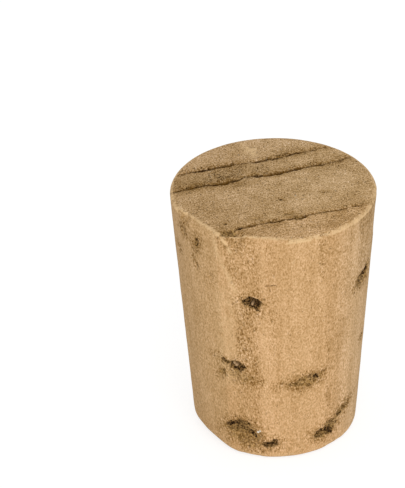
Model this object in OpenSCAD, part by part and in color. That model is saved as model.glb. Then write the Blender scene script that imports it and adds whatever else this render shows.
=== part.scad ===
// Tapered natural cork stopper, cut and sanded from one piece of bark.
// It stands on its narrow end. +Z is up, the origin is the centre of the base,
// and turns about Z are counted from the front (-Y) towards +X.

/* [Body] */
// Diameter across the top, before its edge is rounded
top_d = 17.5; // [15:0.5:24]
// Diameter across the base, before its edge is rounded
base_d = 14; // [10:0.5:15]
// Height from the base to the top
height = 22.9; // [18:0.1:32]

/* [Edges] */
// Radius that rounds the top edge
rim_r = 0.4; // [0.1:0.05:0.8]
// Radius that rounds the base edge
foot_r = 0.6; // [0.1:0.05:1]
// How far the larger worn flat on the top edge reaches in
rim_wear = 0.7; // [0.2:0.05:0.8]
// How far the worn flat on the base edge reaches in
foot_wear = 0.95; // [0.3:0.05:1.5]

/* [Growth rings] */
// Turn of the growth rings about the upright axis, in degrees
ring_turn = 20.5; // [0:0.5:45]
// Opening of the widest fissure between two rings
fissure_w = 0.4; // [0.2:0.02:0.6]
// Depth of the deepest fissure
fissure_depth = 1.2; // [0.4:0.1:3]
// How far a fissure wanders from its ring
fissure_wander = 0.12; // [0:0.02:0.3]

/* [Lenticels] */
// Length of the longest lenticel pit
lenticel_l = 4; // [3.6:0.1:5]
// Width of the widest lenticel pit
lenticel_w = 2.3; // [1.2:0.1:2.6]
// Depth of the deepest lenticel pit
lenticel_depth = 0.6; // [0.3:0.05:0.8]

/* [Chip] */
// Length of the crumbled chip where the front fissure starts
chip_l = 1.7; // [1.2:0.1:2.4]
// Width of the chip
chip_w = 1.1; // [0.6:0.1:1.4]
// Depth of the chip
chip_depth = 0.35; // [0.2:0.05:0.6]

/* [Hidden] */

top_r = top_d / 2;
base_r = base_d / 2;
// Lean of the side from upright
taper = atan((top_r - base_r) / height);
// Centres of the circles that round the two edges
rim_x = top_r - rim_r * (1 + sin(taper)) / cos(taper);
foot_x = base_r - foot_r * (1 - sin(taper)) / cos(taper);
// Cuts start this far outside the cork
overrun = 1;

// Worn flats on the top edge: turn, share of the furthest reach
rim_wear_shares = [[-10, 1], [-52, 0.85]];
// Turn of the worn flat on the base edge
foot_wear_turn = -61;
// Lean of all the worn flats from upright
wear_lean = 45;

// Fissures, from the back to the front of the top:
// distance from the middle of the top as a share of its radius,
// start and end as shares of the half chord there,
// share of the widest opening, share of the deepest, phase of the wander,
// share of its opening that it has lost at its far end
fissure_shares = [
    [0.557, -0.94, 0.95, 0.7, 0.8, 40, 0.3],
    [0.277, -0.98, 0.95, 1, 1, 160, 0.5],
    [-0.586, -0.8, 0.93, 0.75, 0.65, 300, 0.7],
];
// Straight pieces in each long edge of a fissure
fissure_steps = 16;

// Lenticels: turn about the axis, height as a share of the cork's,
// shares of the longest, the widest and the deepest pit,
// slope of its length, and 1 where it runs right through to the back
lenticel_shares = [
    [-12.8, 0.721, 0.5, 0.5, 1, -22, 1],
    [-24.5, 0.419, 0.5, 0.37, 0.7, 4, 1],
    [-33.5, 0.426, 0.25, 0.22, 0.45, -20, 0],
    [-36, 0.393, 0.23, 0.2, 0.4, 50, 0],
    [20, 0.36, 1, 0.4, 0.48, 7, 1],
    [28, 0.371, 0.38, 0.25, 0.65, 14, 0],
    [-22, 0.107, 0.85, 1, 0.55, -18, 1],
    [-31.5, 0.138, 0.43, 0.27, 0.8, 38, 0],
    [-22, 0.162, 0.38, 0.22, 0.8, -5, 0],
    [-14.3, 0.127, 0.35, 0.27, 0.9, -45, 0],
    [-3.6, 0.068, 0.33, 0.27, 0.75, 5, 0],
    [35, 0.083, 0.48, 0.41, 0.75, 8, 1],
    [45, 0.1, 0.4, 0.43, 0.42, 35, 0],
    [55, 0.148, 0.55, 0.43, 0.42, 25, 0],
    [63.5, 0.707, 0.7, 0.5, 0.67, 8, 1],
    [72.5, 0.397, 0.18, 0.17, 0.33, 30, 0],
    [-48.6, 0.917, 0.3, 0.3, 0.33, 70, 0],
];
// A ring that cuts a pit is at least this many times as large as its section
ring_share = 2.1;
// How far the ring runs on past the ends of its pit
sweep_share = 1.3;
// A lenticel narrows on its way through the cork
far_end_share = 0.75;

// Number of the fissure that the chip lies on
chip_fissure = 2;

// Radius of the tapered side at a height
function side_r(z) = base_r + (top_r - base_r) * z / height;

// Radius of the arc that spans a width and rises by a depth
function arc_r(width, depth) = (width * width / 4 + depth * depth) / (2 * depth);

// Turn at which a lenticel that crosses the rings comes out again
function far_turn(turn) = 2 * ring_turn + 180 - turn;

// Half the length of the chord that lies that far from the middle of the top
function half_chord(off) = sqrt(top_r * top_r - off * off);

// Half the opening of a fissure, a part t of the way along it
function half_opening(row, t) =
    row[3] * fissure_w / 2 * sqrt(max(0, sin(180 * t))) * (1 - row[6] * t);

// Sideways wander of a fissure, a part t of the way along it
function wander(phase, t) =
    fissure_wander * (sin(520 * t + phase) + sin(1230 * t + 2 * phase) / 2);

// Middle of a fissure, a part t of the way along it
function fissure_middle(row, t) =
    let (off = row[0] * top_r)
    [(row[1] + (row[2] - row[1]) * t) * half_chord(off), off + wander(row[5], t)];

// One long edge of a fissure; side is 1 or -1
function fissure_edge(row, side) = [
    for (step = [0 : fissure_steps])
        let (t = step / fissure_steps)
        fissure_middle(row, t) + [0, side * half_opening(row, t)]
];

// A list of points turned end for end, without its two ends
function inner_reversed(points) = [for (i = [len(points) - 2 : -1 : 1]) points[i]];

// Half of the turned section, with both edges rounded
module half_section() {
    polygon([
        [0, 0],
        [foot_x, 0],
        [foot_x + foot_r * cos(taper), foot_r - foot_r * sin(taper)],
        [rim_x + rim_r * cos(taper), height - rim_r - rim_r * sin(taper)],
        [rim_x, height],
        [0, height],
    ]);
    translate([foot_x, foot_r]) circle(r = foot_r, $fn = 64);
    translate([rim_x, height - rim_r]) circle(r = rim_r, $fn = 64);
}

// Lens-shaped pit, its length along Y, in a face that X points out of:
// the outer edge of a ring sinks into the face by the depth
module lens_pit(length, width, depth) {
    round_r = arc_r(width, depth);
    long_r = max(arc_r(length, depth), ring_share * round_r);
    half_sweep = sweep_share * acos(1 - depth / long_r);
    translate([long_r - depth, 0, 0])
        rotate([0, 0, 180 - half_sweep])
            rotate_extrude(angle = 2 * half_sweep, $fn = 180)
                translate([long_r - round_r, 0]) circle(r = round_r, $fn = 40);
}

// Lenticel pit on the tapered side
module lenticel(turn, z, length, width, depth, slope) {
    rotate([0, 0, turn - 90])
        translate([side_r(z), 0, z])
            rotate([slope, taper, 0]) lens_pit(length, width, depth);
}

// All the lenticels, with the far ends of those that run right through
module lenticels() {
    for (row = lenticel_shares) {
        z = row[1] * height;
        l = row[2] * lenticel_l;
        w = row[3] * lenticel_w;
        d = row[4] * lenticel_depth;
        lenticel(row[0], z, l, w, d, row[5]);
        if (row[6] == 1)
            lenticel(far_turn(row[0]), z, far_end_share * l, far_end_share * w,
                     far_end_share * d, -row[5]);
    }
}

// Fissures along the growth rings, open at the top
module fissures() {
    rotate([0, 0, ring_turn])
        for (row = fissure_shares) {
            depth = row[4] * fissure_depth;
            translate([0, 0, height - depth])
                linear_extrude(depth + overrun)
                    polygon(concat(fissure_edge(row, -1), inner_reversed(fissure_edge(row, 1))));
        }
}

// Crumbled place where the front fissure starts, drawn out along the rings
module chip() {
    start = fissure_middle(fissure_shares[chip_fissure], 0);
    rotate([0, 0, ring_turn])
        translate([start.x, start.y, height])
            rotate([0, -90, 90]) lens_pit(chip_l, chip_w, chip_depth);
}

// Flat worn on an edge; lean is positive for the base edge
module worn_flat(turn, edge_r, z, reach, lean) {
    rotate([0, 0, turn - 90])
        translate([edge_r - reach, 0, z])
            rotate([0, lean, 0])
                translate([0, -top_r, -top_r]) cube(top_d);
}

// Body of the stopper
module cork_body() {
    color("burlywood")
        difference() {
            rotate_extrude($fn = 192) half_section();
            fissures();
            lenticels();
            chip();
            for (row = rim_wear_shares)
                worn_flat(row[0], top_r, height, row[1] * rim_wear, -wear_lean);
            worn_flat(foot_wear_turn, base_r, 0, foot_wear, wear_lean);
        }
}

cork_body();
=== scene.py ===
"""Looks of a tapered natural cork stopper: one carved mesh with two cork finishes.

Sizes are in millimetres and become metres where a mesh, a node tree or a lamp is made.
Turns about the upright axis are in degrees, from the front (-Y) towards +X.
"""

import logging
import math
from abc import ABC, abstractmethod
from collections.abc import Mapping
from dataclasses import dataclass, field
from enum import Enum
from typing import ClassVar

import bmesh
import bpy
import numpy as np
from mathutils import Matrix, Vector, noise


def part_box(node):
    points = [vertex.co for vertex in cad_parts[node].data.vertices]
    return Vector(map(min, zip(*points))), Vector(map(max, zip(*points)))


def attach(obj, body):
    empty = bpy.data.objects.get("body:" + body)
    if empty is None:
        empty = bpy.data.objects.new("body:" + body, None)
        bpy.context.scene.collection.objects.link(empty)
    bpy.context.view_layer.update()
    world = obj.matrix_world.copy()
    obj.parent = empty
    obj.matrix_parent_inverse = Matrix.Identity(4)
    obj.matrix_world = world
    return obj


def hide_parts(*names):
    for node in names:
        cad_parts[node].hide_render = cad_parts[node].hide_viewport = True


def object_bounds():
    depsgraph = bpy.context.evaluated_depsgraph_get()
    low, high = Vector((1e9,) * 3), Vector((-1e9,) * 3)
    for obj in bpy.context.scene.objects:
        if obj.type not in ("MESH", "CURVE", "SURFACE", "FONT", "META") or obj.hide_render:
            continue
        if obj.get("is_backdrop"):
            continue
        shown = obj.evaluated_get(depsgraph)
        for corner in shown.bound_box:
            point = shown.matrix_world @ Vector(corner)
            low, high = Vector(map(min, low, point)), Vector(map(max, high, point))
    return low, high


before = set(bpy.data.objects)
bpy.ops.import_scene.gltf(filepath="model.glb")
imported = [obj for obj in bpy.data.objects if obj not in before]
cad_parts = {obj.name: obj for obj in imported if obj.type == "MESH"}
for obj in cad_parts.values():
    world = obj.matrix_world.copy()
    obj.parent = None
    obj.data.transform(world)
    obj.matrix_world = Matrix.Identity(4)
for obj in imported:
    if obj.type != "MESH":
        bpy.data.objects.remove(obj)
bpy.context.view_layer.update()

log = logging.getLogger("cork_stopper")

MM = 0.001
PER_MM = 1 / MM
NODE = "cork_body"
BODY = "root"
# How much faster a measure grows where a carving must not reach
FAR = 10

Socket = bpy.types.NodeSocket
Value = Socket | float | int | bool | str | tuple | bpy.types.Material
Colour = tuple[float, float, float, float]
Array = np.ndarray
# Two numbers that belong together
Pair = tuple[float, float]
# Where a change starts and where it is complete
Fade = Pair
# Scale, detail and roughness of a noise texture
Texture = tuple[float, float, float]


class Mask(Enum):
    """Point attributes that the carving leaves on the mesh for the finishes."""

    CARVE = "carve"
    # Dark floor of a pore: the cork's own dark brown with painted shade of the hollow
    HOLLOW = "hollow"
    # Dark inside of a crack: the cork's own dark brown with painted shade
    CRACK = "crack"
    # Pale places: worn cork and pale patches, with a painted highlight along the top edge and the ridges
    EDGE = "edge"
    CRUMB = "crumb"
    COARSE = "coarse"
    STAIN = "stain"
    END = "end"


def paint(red: int, green: int, blue: int) -> Colour:
    """Turns a display colour into the linear one that shaders use.

    Args:
        red: Red from 0 to 255.
        green: Green from 0 to 255.
        blue: Blue from 0 to 255.

    Returns:
        The linear colour with full alpha.
    """
    knee, slope, lift, gamma = 0.04045, 12.92, 0.055, 2.4
    shares = [channel / 255 for channel in (red, green, blue)]
    linear = [s / slope if s <= knee else ((s + lift) / (1 + lift)) ** gamma for s in shares]
    return (linear[0], linear[1], linear[2], 1.0)


class Tone(Enum):
    """Display colours of the marks in the cork, of the painted glints, highlights and shade, and of the
    floor.
    """

    # Darker towards the left and greyer towards the right of a surface
    DARKER_LEFT = (178, 140, 96)
    GREYER_RIGHT = (210, 184, 146)
    STAINED_RING = (136, 108, 66)
    SPECK = (108, 76, 36)
    # Painted glint: pale spots that stand in for light catching the grain
    GLINT = (236, 200, 150)
    # Pale places: worn cork, with a painted highlight along the top edge and the ridges
    PALE_WEAR_AND_HIGHLIGHT = (238, 202, 152)
    BLOTCH = (134, 98, 42)
    SHALLOW_SHADE = (88, 60, 20)
    SHALLOW_CRUMB = (184, 148, 88)
    DEEP_SHADE = (40, 23, 6)
    DEEP_CRUMB = (138, 104, 62)
    CRACK_SHADE = (74, 44, 8)
    CRACK_CRUMB = (122, 84, 26)
    DULL_CRUMB = (196, 162, 122)
    BRIGHT_CRUMB = (250, 242, 226)
    FLOOR = (242, 242, 242)

    @property
    def linear(self) -> Colour:
        """The colour that shaders use."""
        return paint(*self.value)


def smooth(value: Array, start: float, end: float) -> Array:
    """Rises smoothly from 0 at start to 1 at end; start may be the larger one."""
    t = np.clip((value - start) / (end - start), 0, 1)
    return t * t * (3 - 2 * t)


def noise_at(points: Array, per_mm: float, seed: int) -> Array:
    """Samples gradient noise at many points.

    Args:
        points: Points in millimetres, one in a row.
        per_mm: How many waves the noise has in a millimetre.
        seed: Picks another part of the noise.

    Returns:
        Values from about -1 to 1.
    """
    step = 17.3
    moved = points * per_mm + seed * step
    return np.array([noise.noise(point) for point in moved.tolist()])


def layered_noise(points: Array, *waves: tuple[float, float, int]) -> Array:
    """Adds up noises, each given by its waves in a millimetre, its height and its seed."""
    return sum(height * noise_at(points, per_mm, seed) for per_mm, height, seed in waves)


def between(ends: Pair, share: Array) -> Array:
    """Values from the first end to the second one, by a share from 0 to 1."""
    first, second = ends
    return first + (second - first) * share


def outwards(turn: float, elevation: float) -> Vector:
    """Direction of a place around the stopper, from its turn and its height above the horizon."""
    angle, rise = math.radians(turn), math.radians(elevation)
    return Vector((math.sin(angle) * math.cos(rise), -math.cos(angle) * math.cos(rise), math.sin(rise)))


def scene_object(name: str, data: bpy.types.ID) -> bpy.types.Object:
    """Makes an object of some data and puts it into the scene.

    Args:
        name: Name of the object.
        data: Its mesh, lamp or camera.

    Returns:
        The object.
    """
    made = bpy.data.objects.new(name, data)
    bpy.context.scene.collection.objects.link(made)
    return made


class Graph:
    """Adds nodes to a tree and wires them.

    Attributes:
        tree: The node tree that the nodes go into.
        green_power: Power of a tone that green is multiplied by, where red takes the tone itself.
        blue_power: The same for blue.
    """

    green_power: ClassVar[float] = 1.2
    blue_power: ClassVar[float] = 1.75

    def __init__(self, tree: bpy.types.NodeTree) -> None:
        """Keeps the tree."""
        self.tree = tree

    def wire(self, socket: Socket, value: Value) -> None:
        """Links a socket to another one, or sets its value.

        Args:
            socket: The input.
            value: The output that it is linked to, or the value that it takes.
        """
        if isinstance(value, bpy.types.NodeSocket):
            self.tree.links.new(value, socket)
        else:
            socket.default_value = value

    def node(self, kind: str, wires: Mapping[str | int, Value] | None = None,
             **settings: object) -> bpy.types.Node:
        """Adds a node.

        Args:
            kind: Blender's name for the type of node.
            wires: Input names or numbers, with the value or socket each one takes.
            **settings: Properties of the node itself.

        Returns:
            The new node.
        """
        made = self.tree.nodes.new(kind)
        for name, setting in settings.items():
            setattr(made, name, setting)
        for key, value in (wires or {}).items():
            self.wire(made.inputs[key], value)
        return made

    def math(self, operation: str, *values: Value) -> Socket:
        """Adds a Math node on the values and returns its result."""
        made = self.node("ShaderNodeMath", dict(enumerate(values)), operation=operation)
        return made.outputs[0]

    def product(self, *values: Value) -> Socket:
        """Multiplies two or more numbers, from the first to the last.

        Args:
            *values: The numbers.

        Returns:
            Their product.
        """
        result = values[0]
        for value in values[1:]:
            result = self.math("MULTIPLY", result, value)
        return result

    def vector(self, operation: str, *values: Value) -> Socket:
        """Adds a Vector Math node on the values and returns its vector."""
        made = self.node("ShaderNodeVectorMath", dict(enumerate(values)), operation=operation)
        return made.outputs["Vector"]

    def scaled(self, vector: Value, factor: Value) -> Socket:
        """Multiplies a vector by one number."""
        made = self.node("ShaderNodeVectorMath", {"Vector": vector, "Scale": factor}, operation="SCALE")
        return made.outputs["Vector"]

    def point(self, x: Value, y: Value, z: Value) -> Socket:
        """Makes a vector of three numbers."""
        return self.node("ShaderNodeCombineXYZ", {"X": x, "Y": y, "Z": z}).outputs["Vector"]

    def parts(self, vector: Socket) -> tuple[Socket, Socket, Socket]:
        """Takes a vector apart into its three numbers."""
        made = self.node("ShaderNodeSeparateXYZ", {"Vector": vector})
        return (made.outputs["X"], made.outputs["Y"], made.outputs["Z"])

    def remap(self, value: Value, start: Value, end: Value, low: float = 0.0, high: float = 1.0) -> Socket:
        """Maps a value from start to end smoothly onto low to high.

        Args:
            value: The value.
            start: Where it gives low.
            end: Where it gives high.
            low: Result up to start.
            high: Result from end on.

        Returns:
            The mapped value.
        """
        wires = {"Value": value, "From Min": start, "From Max": end, "To Min": low, "To Max": high}
        made = self.node("ShaderNodeMapRange", wires, interpolation_type="SMOOTHSTEP")
        return made.outputs["Result"]

    def between(self, ends: Pair, share: Socket) -> Socket:
        """Number from the first end to the second one, by a share from 0 to 1."""
        first, second = ends
        return self.math("MULTIPLY_ADD", share, second - first, first)

    def clouds(self, point: Socket, scale: float, detail: float, roughness: float) -> Socket:
        """Adds a noise texture and returns its value from 0 to 1."""
        wires = {"Vector": point, "Scale": scale, "Detail": detail, "Roughness": roughness}
        return self.node("ShaderNodeTexNoise", wires).outputs[0]

    def pick(self, choice: Socket, no: Socket, yes: Socket) -> Socket:
        """Picks one of two numbers; a Mix node names its sockets alike, so they are counted."""
        factor, first, second, result = 0, 2, 3, 0
        return self.node("ShaderNodeMix", {factor: choice, first: no, second: yes}).outputs[result]

    def mix(self, share: Value, start: Value, end: Value, way: str = "MIX") -> Socket:
        """Mixes two colours in a blend type; a Mix node names its sockets alike, so they are counted.

        Args:
            share: How much the second colour counts, from 0 to 1.
            start: The first colour.
            end: The second colour.
            way: The blend type.

        Returns:
            The mixed colour.
        """
        factor, first, second, result = 0, 6, 7, 2
        wires = {factor: share, first: start, second: end}
        return self.node("ShaderNodeMix", wires, data_type="RGBA", blend_type=way).outputs[result]

    def toned(self, colour: Socket, tone: Socket) -> Socket:
        """Darkens or pales a colour as cork does: darker cork is redder, and paler cork greyer."""
        green, blue = (self.math("POWER", tone, power) for power in (self.green_power, self.blue_power))
        return self.mix(1.0, colour, self.point(tone, green, blue), "MULTIPLY")


class Group(Graph):
    """A node group with named inputs and outputs."""

    def __init__(self, name: str, kind: str, inputs: Mapping[str, str], outputs: Mapping[str, str]) -> None:
        """Makes the group and its sockets.

        Args:
            name: Name of the group.
            kind: GeometryNodeTree or ShaderNodeTree.
            inputs: Names of the inputs, with the type of each.
            outputs: Names of the outputs, with the type of each.
        """
        super().__init__(bpy.data.node_groups.new(name, kind))
        for way, sockets in (("INPUT", inputs), ("OUTPUT", outputs)):
            for label, socket in sockets.items():
                kept = f"NodeSocket{socket}"
                self.tree.interface.new_socket(name=label, in_out=way, socket_type=kept)
        self.source = self.node("NodeGroupInput")
        self.sink = self.node("NodeGroupOutput")

    def given(self, label: str) -> Socket:
        """Returns the socket of one of the group's inputs."""
        return self.source.outputs[label]

    def put(self, label: str, value: Socket) -> None:
        """Wires one of the group's outputs."""
        self.wire(self.sink.inputs[label], value)

    def attribute(self, mask: Mask) -> Socket:
        """Reads one of the carving's attributes in a geometry tree."""
        return self.node("GeometryNodeInputNamedAttribute", {"Name": mask.value}).outputs[0]

    def shade(self, mask: Mask) -> Socket:
        """Reads one of the carving's attributes in a shader."""
        return self.node("ShaderNodeAttribute", attribute_name=mask.value).outputs["Fac"]

    def changed(self, kind: str, geometry: Socket, **wires: Value) -> Socket:
        """Adds a geometry node that changes a geometry, and returns the changed one."""
        return self.node(f"GeometryNode{kind}", {"Geometry": geometry, **wires}).outputs[0]


def run_tree(tree: bpy.types.NodeTree, start: bpy.types.Mesh, values: Mapping[str, Value]) -> bpy.types.Mesh:
    """Runs a geometry tree on a mesh.

    Args:
        tree: The tree.
        start: The mesh that it starts from.
        values: What the tree's inputs take, by name.

    Returns:
        The result as a plain mesh.
    """
    holder = scene_object("tree_holder", start)
    modifier = holder.modifiers.new("tree", "NODES")
    modifier.node_group = tree
    for item in tree.interface.items_tree:
        if item.in_out == "INPUT" and item.name in values:
            modifier[item.identifier] = values[item.name]
    graph = bpy.context.evaluated_depsgraph_get()
    made = bpy.data.meshes.new_from_object(holder.evaluated_get(graph), depsgraph=graph)
    bpy.data.objects.remove(holder)
    return made


@dataclass
class TurnedBlank:
    """The plain tapered body before its surface is carved.

    Attributes:
        top_r: Radius across the top, before its edge is rounded.
        base_r: Radius across the base, before its edge is rounded.
        height: Height of the stopper.
        rim_r: Rounding of the top edge.
        foot_r: Rounding of the base edge.
        core_share: Part of each end's radius that is laid out as a square grid.
        pitch: Distance between the rows of points.
        turn_steps: Points round the body, a multiple of 8.
        round_steps: Points on each rounded edge.
        weld_share: Points nearer to each other than this part of the pitch become one.
    """

    top_r: float = 8.75
    base_r: float = 7.0
    height: float = 22.9
    rim_r: float = 0.4
    foot_r: float = 0.6
    core_share: float = 0.5
    pitch: float = 0.34
    turn_steps: int = 160
    round_steps: int = 7
    weld_share: float = 0.01

    def side_radius(self, z: Array | float) -> Array | float:
        """Radius of the tapered side at a height."""
        return self.base_r + (self.top_r - self.base_r) * z / self.height

    def inputs(self) -> dict[str, Value]:
        """What the tree's named inputs take.

        Returns:
            The values, by the names of the inputs.
        """
        return {
            "Top Radius": self.top_r * MM,
            "Base Radius": self.base_r * MM,
            "Height": self.height * MM,
            "Rim Rounding": self.rim_r * MM,
            "Foot Rounding": self.foot_r * MM,
            "Core Share": self.core_share,
            "Row Pitch": self.pitch * MM,
            "Turn Steps": self.turn_steps,
            "Rounding Steps": self.round_steps,
        }

    def tree(self) -> bpy.types.NodeTree:
        """Builds the tree that turns the side and lays a grid on each end.

        Returns:
            The tree.
        """
        whole = ("Turn Steps", "Rounding Steps")
        kinds = {label: "Int" if label in whole else "Float" for label in self.inputs()}
        group = Group("turned_blank", "GeometryNodeTree",
                      {**kinds, "Finish": "Material"}, {"Geometry": "Geometry"})
        flat = self._end_grid(group, "Base Radius", 0.0)
        top = self._end_grid(group, "Top Radius", group.given("Height"))
        side = self._turned_side(group, self._section(group))
        joined = group.node("GeometryNodeJoinGeometry")
        for part in (side, top, flat):
            group.wire(joined.inputs[0], part)
        weld = self.pitch * self.weld_share * MM
        merged = group.changed("MergeByDistance", joined.outputs[0], Distance=weld)
        real = group.changed("RealizeInstances", merged)
        group.put("Geometry", group.changed("SetMaterial", real, Material=group.given("Finish")))
        return group.tree

    def _section(self, group: Group) -> Socket:
        """Draws half of the section, from the base's grid round to the top's, and rounds its corners.

        Args:
            group: The group that the nodes go into.

        Returns:
            The section as a curve.
        """
        base, top, core, high = (
            group.given(label) for label in ("Base Radius", "Top Radius", "Core Share", "Height")
        )
        corners = {
            "Point 1": group.point(group.product(base, core), 0.0, 0.0),
            "Point 2": group.point(base, 0.0, 0.0),
            "Point 3": group.point(top, 0.0, high),
            "Point 4": group.point(group.product(top, core), 0.0, high),
        }
        drawn = group.node("GeometryNodeCurvePrimitiveQuadrilateral", corners, mode="POINTS")
        opened = group.changed("SetSplineCyclic", drawn.outputs[0], Cyclic=False)
        index = group.node("GeometryNodeInputIndex").outputs[0]
        foot, rim = (
            group.product(group.math("COMPARE", index, corner, 0.5), group.given(label))
            for corner, label in ((1, "Foot Rounding"), (2, "Rim Rounding"))
        )
        wires = {"Curve": opened, "Radius": group.math("ADD", foot, rim),
                 "Count": group.given("Rounding Steps")}
        rounded = group.node("GeometryNodeFilletCurve", wires, mode="POLY")
        place = group.node("GeometryNodeInputPosition").outputs[0]
        ahead = group.node("GeometryNodeFieldAtIndex", {"Value": place, "Index": group.math("ADD", index, 1)},
                           data_type="FLOAT_VECTOR", domain="POINT")
        run = group.node("ShaderNodeVectorMath", {0: place, 1: ahead.outputs[0]}, operation="DISTANCE")
        cuts = group.math("FLOOR", group.math("DIVIDE", run.outputs["Value"], group.given("Row Pitch")))
        return group.node("GeometryNodeSubdivideCurve",
                          {"Curve": rounded.outputs[0], "Cuts": cuts}).outputs[0]

    def _turned_side(self, group: Group, section: Socket) -> Socket:
        """Turns the section about the upright axis.

        Args:
            group: The group that the nodes go into.
            section: The section.

        Returns:
            The turned side.
        """
        count = group.node("GeometryNodeAttributeDomainSize", {"Geometry": section}, component="CURVE")
        rows = count.outputs["Point Count"]
        steps = group.given("Turn Steps")
        grid = group.node("GeometryNodeMeshGrid",
                          {"Vertices X": group.math("ADD", steps, 1), "Vertices Y": rows})
        index = group.node("GeometryNodeInputIndex").outputs[0]
        column = group.math("FLOOR", group.math("DIVIDE", index, rows))
        row = group.math("SUBTRACT", index, group.product(column, rows))
        place = group.node("GeometryNodeInputPosition").outputs[0]
        sample = group.node("GeometryNodeSampleIndex", {"Geometry": section, "Value": place, "Index": row},
                            data_type="FLOAT_VECTOR", domain="POINT")
        radius, _, z = group.parts(sample.outputs[0])
        turn = group.product(group.math("DIVIDE", column, steps), 2 * math.pi)
        return self._polar(group, grid.outputs["Mesh"], radius, turn, z)

    def _end_grid(self, group: Group, label: str, z: Value) -> Socket:
        """Lays a square grid of points on the middle of an end, drawn out to a disc.

        Args:
            group: The group that the nodes go into.
            label: Name of the input with the end's radius.
            z: Height of the end.

        Returns:
            The disc.
        """
        side = group.math("ADD", group.math("DIVIDE", group.given("Turn Steps"), 4), 1)
        grid = group.node("GeometryNodeMeshGrid",
                          {"Size X": 2.0, "Size Y": 2.0, "Vertices X": side, "Vertices Y": side})
        a, b, _ = group.parts(group.node("GeometryNodeInputPosition").outputs[0])
        wide = group.math("GREATER_THAN", group.math("ABSOLUTE", a), group.math("ABSOLUTE", b))
        eighth = math.pi / 4
        along_a = group.product(group.math("DIVIDE", b, a), eighth)
        along_b = group.math("MULTIPLY_ADD", group.math("DIVIDE", a, b), -eighth, 2 * eighth)
        reach = group.pick(wide, b, a)
        turn = group.pick(wide, along_b, along_a)
        core = group.product(group.given(label), group.given("Core Share"))
        return self._polar(group, grid.outputs["Mesh"], group.product(reach, core), turn, z)

    @staticmethod
    def _polar(group: Group, mesh: Socket, radius: Socket, turn: Socket, z: Value) -> Socket:
        """Moves a mesh's points to a radius, a turn and a height."""
        x, y = (group.product(radius, group.math(wave, turn)) for wave in ("COSINE", "SINE"))
        return group.changed("SetPosition", mesh, Position=group.point(x, y, z))

    def triangles(self, finish: bpy.types.Material) -> tuple[Array, Array]:
        """Turns the blank and cuts it into triangles that face outwards.

        Args:
            finish: Material of the blank.

        Returns:
            Its points in millimetres, and the three points of each triangle.
        """
        empty = bpy.data.meshes.new("blank_start")
        mesh = run_tree(self.tree(), empty, {**self.inputs(), "Finish": finish})
        shape = bmesh.new()
        shape.from_mesh(mesh)
        bmesh.ops.recalc_face_normals(shape, faces=shape.faces)
        bmesh.ops.triangulate(shape, faces=shape.faces)
        points = np.array([point.co for point in shape.verts]) * PER_MM
        corners = np.array([[point.index for point in face.verts] for face in shape.faces])
        shape.free()
        bpy.data.meshes.remove(mesh)
        return points, corners


@dataclass
class Skin:
    """The blank's points, with the measures that the carvings need.

    Attributes:
        blank: The blank that the points lie on.
        points: Points in millimetres.
        ring_turn: Turn of the growth rings.
    """

    blank: TurnedBlank
    points: Array
    ring_turn: float
    turn: Array = field(init=False)
    radius: Array = field(init=False)
    along: Array = field(init=False)
    across: Array = field(init=False)

    def __post_init__(self) -> None:
        """Works out each point's turn, radius and place along and across the rings."""
        x, y, _ = self.points.T
        angle = math.radians(self.ring_turn)
        self.turn = np.degrees(np.arctan2(x, -y))
        self.radius = np.hypot(x, y)
        self.along = x * math.cos(angle) + y * math.sin(angle)
        self.across = y * math.cos(angle) - x * math.sin(angle)

    @property
    def z(self) -> Array:
        """Heights of the points."""
        return self.points[:, 2]

    def strayed(self, near: Array, amount: float, seed: int) -> "Skin":
        """Some of the points, shifted about by noise so that outlines drawn from them turn ragged.

        Args:
            near: Numbers of the points.
            amount: How far they are shifted.
            seed: Picks the noise.

        Returns:
            The shifted points as a skin of their own.
        """
        points = self.points[near]
        shift = [layered_noise(points, (1.3, 1.0, seed + axis), (3.6, 0.7, seed + axis + 3))
                 for axis in range(3)]
        return Skin(self.blank, points + amount * np.column_stack(shift), self.ring_turn)

    def arc_from(self, turn: float) -> Array:
        """Distance round the body from a turn."""
        return np.radians((self.turn - turn + 180) % 360 - 180) * self.radius

    def from_rim(self) -> Array:
        """Distance from the corner of the top edge, in the section."""
        return np.hypot(self.radius - self.blank.top_r, self.z - self.blank.height)

    def from_foot(self) -> Array:
        """Distance from the corner of the base edge, in the section."""
        return np.hypot(self.radius - self.blank.base_r, self.z)


@dataclass
class Marks:
    """What the carvings leave at each point.

    Attributes:
        depth: Depth cut away, in millimetres.
        shade: For each mask, how strong it is from 0 to 1.
    """

    depth: Array
    shade: dict[Mask, Array]

    @classmethod
    def clean(cls, count: int) -> "Marks":
        """Marks of an uncarved skin with that many points."""
        masks = (Mask.HOLLOW, Mask.CRACK, Mask.EDGE, Mask.CRUMB, Mask.COARSE, Mask.STAIN)
        return cls(np.zeros(count), {mask: np.zeros(count) for mask in masks})

    def cut(self, near: Array, depth: Array) -> None:
        """Cuts some points down to a depth, where they aren't lower already."""
        self.depth[near] = np.maximum(self.depth[near], depth)

    def darken(self, mask: Mask, near: Array, strength: Array) -> None:
        """Makes a mask at least that strong at some points."""
        self.shade[mask][near] = np.maximum(self.shade[mask][near], strength)


class Carving(ABC):
    """Something that changes the skin at one place.

    Attributes:
        finest: Longest edge that the mesh may have in the smallest carvings.
        margin: How far round its outline a carving still changes the skin.
    """

    finest: ClassVar[float] = 0.072
    margin: ClassVar[float] = 1.0

    def near(self, skin: Skin) -> Array:
        """Numbers of the points that the carving may change."""
        return np.flatnonzero(self.distance(skin) < self.margin)

    def edge(self) -> float:
        """Longest edge that the mesh may have in the carved place."""
        return self.finest

    @abstractmethod
    def distance(self, skin: Skin) -> Array:
        """Rough distance of each point from the carved place, in millimetres."""

    @abstractmethod
    def carve(self, skin: Skin, marks: Marks) -> None:
        """Adds the carving's depth and masks to the marks."""


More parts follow.
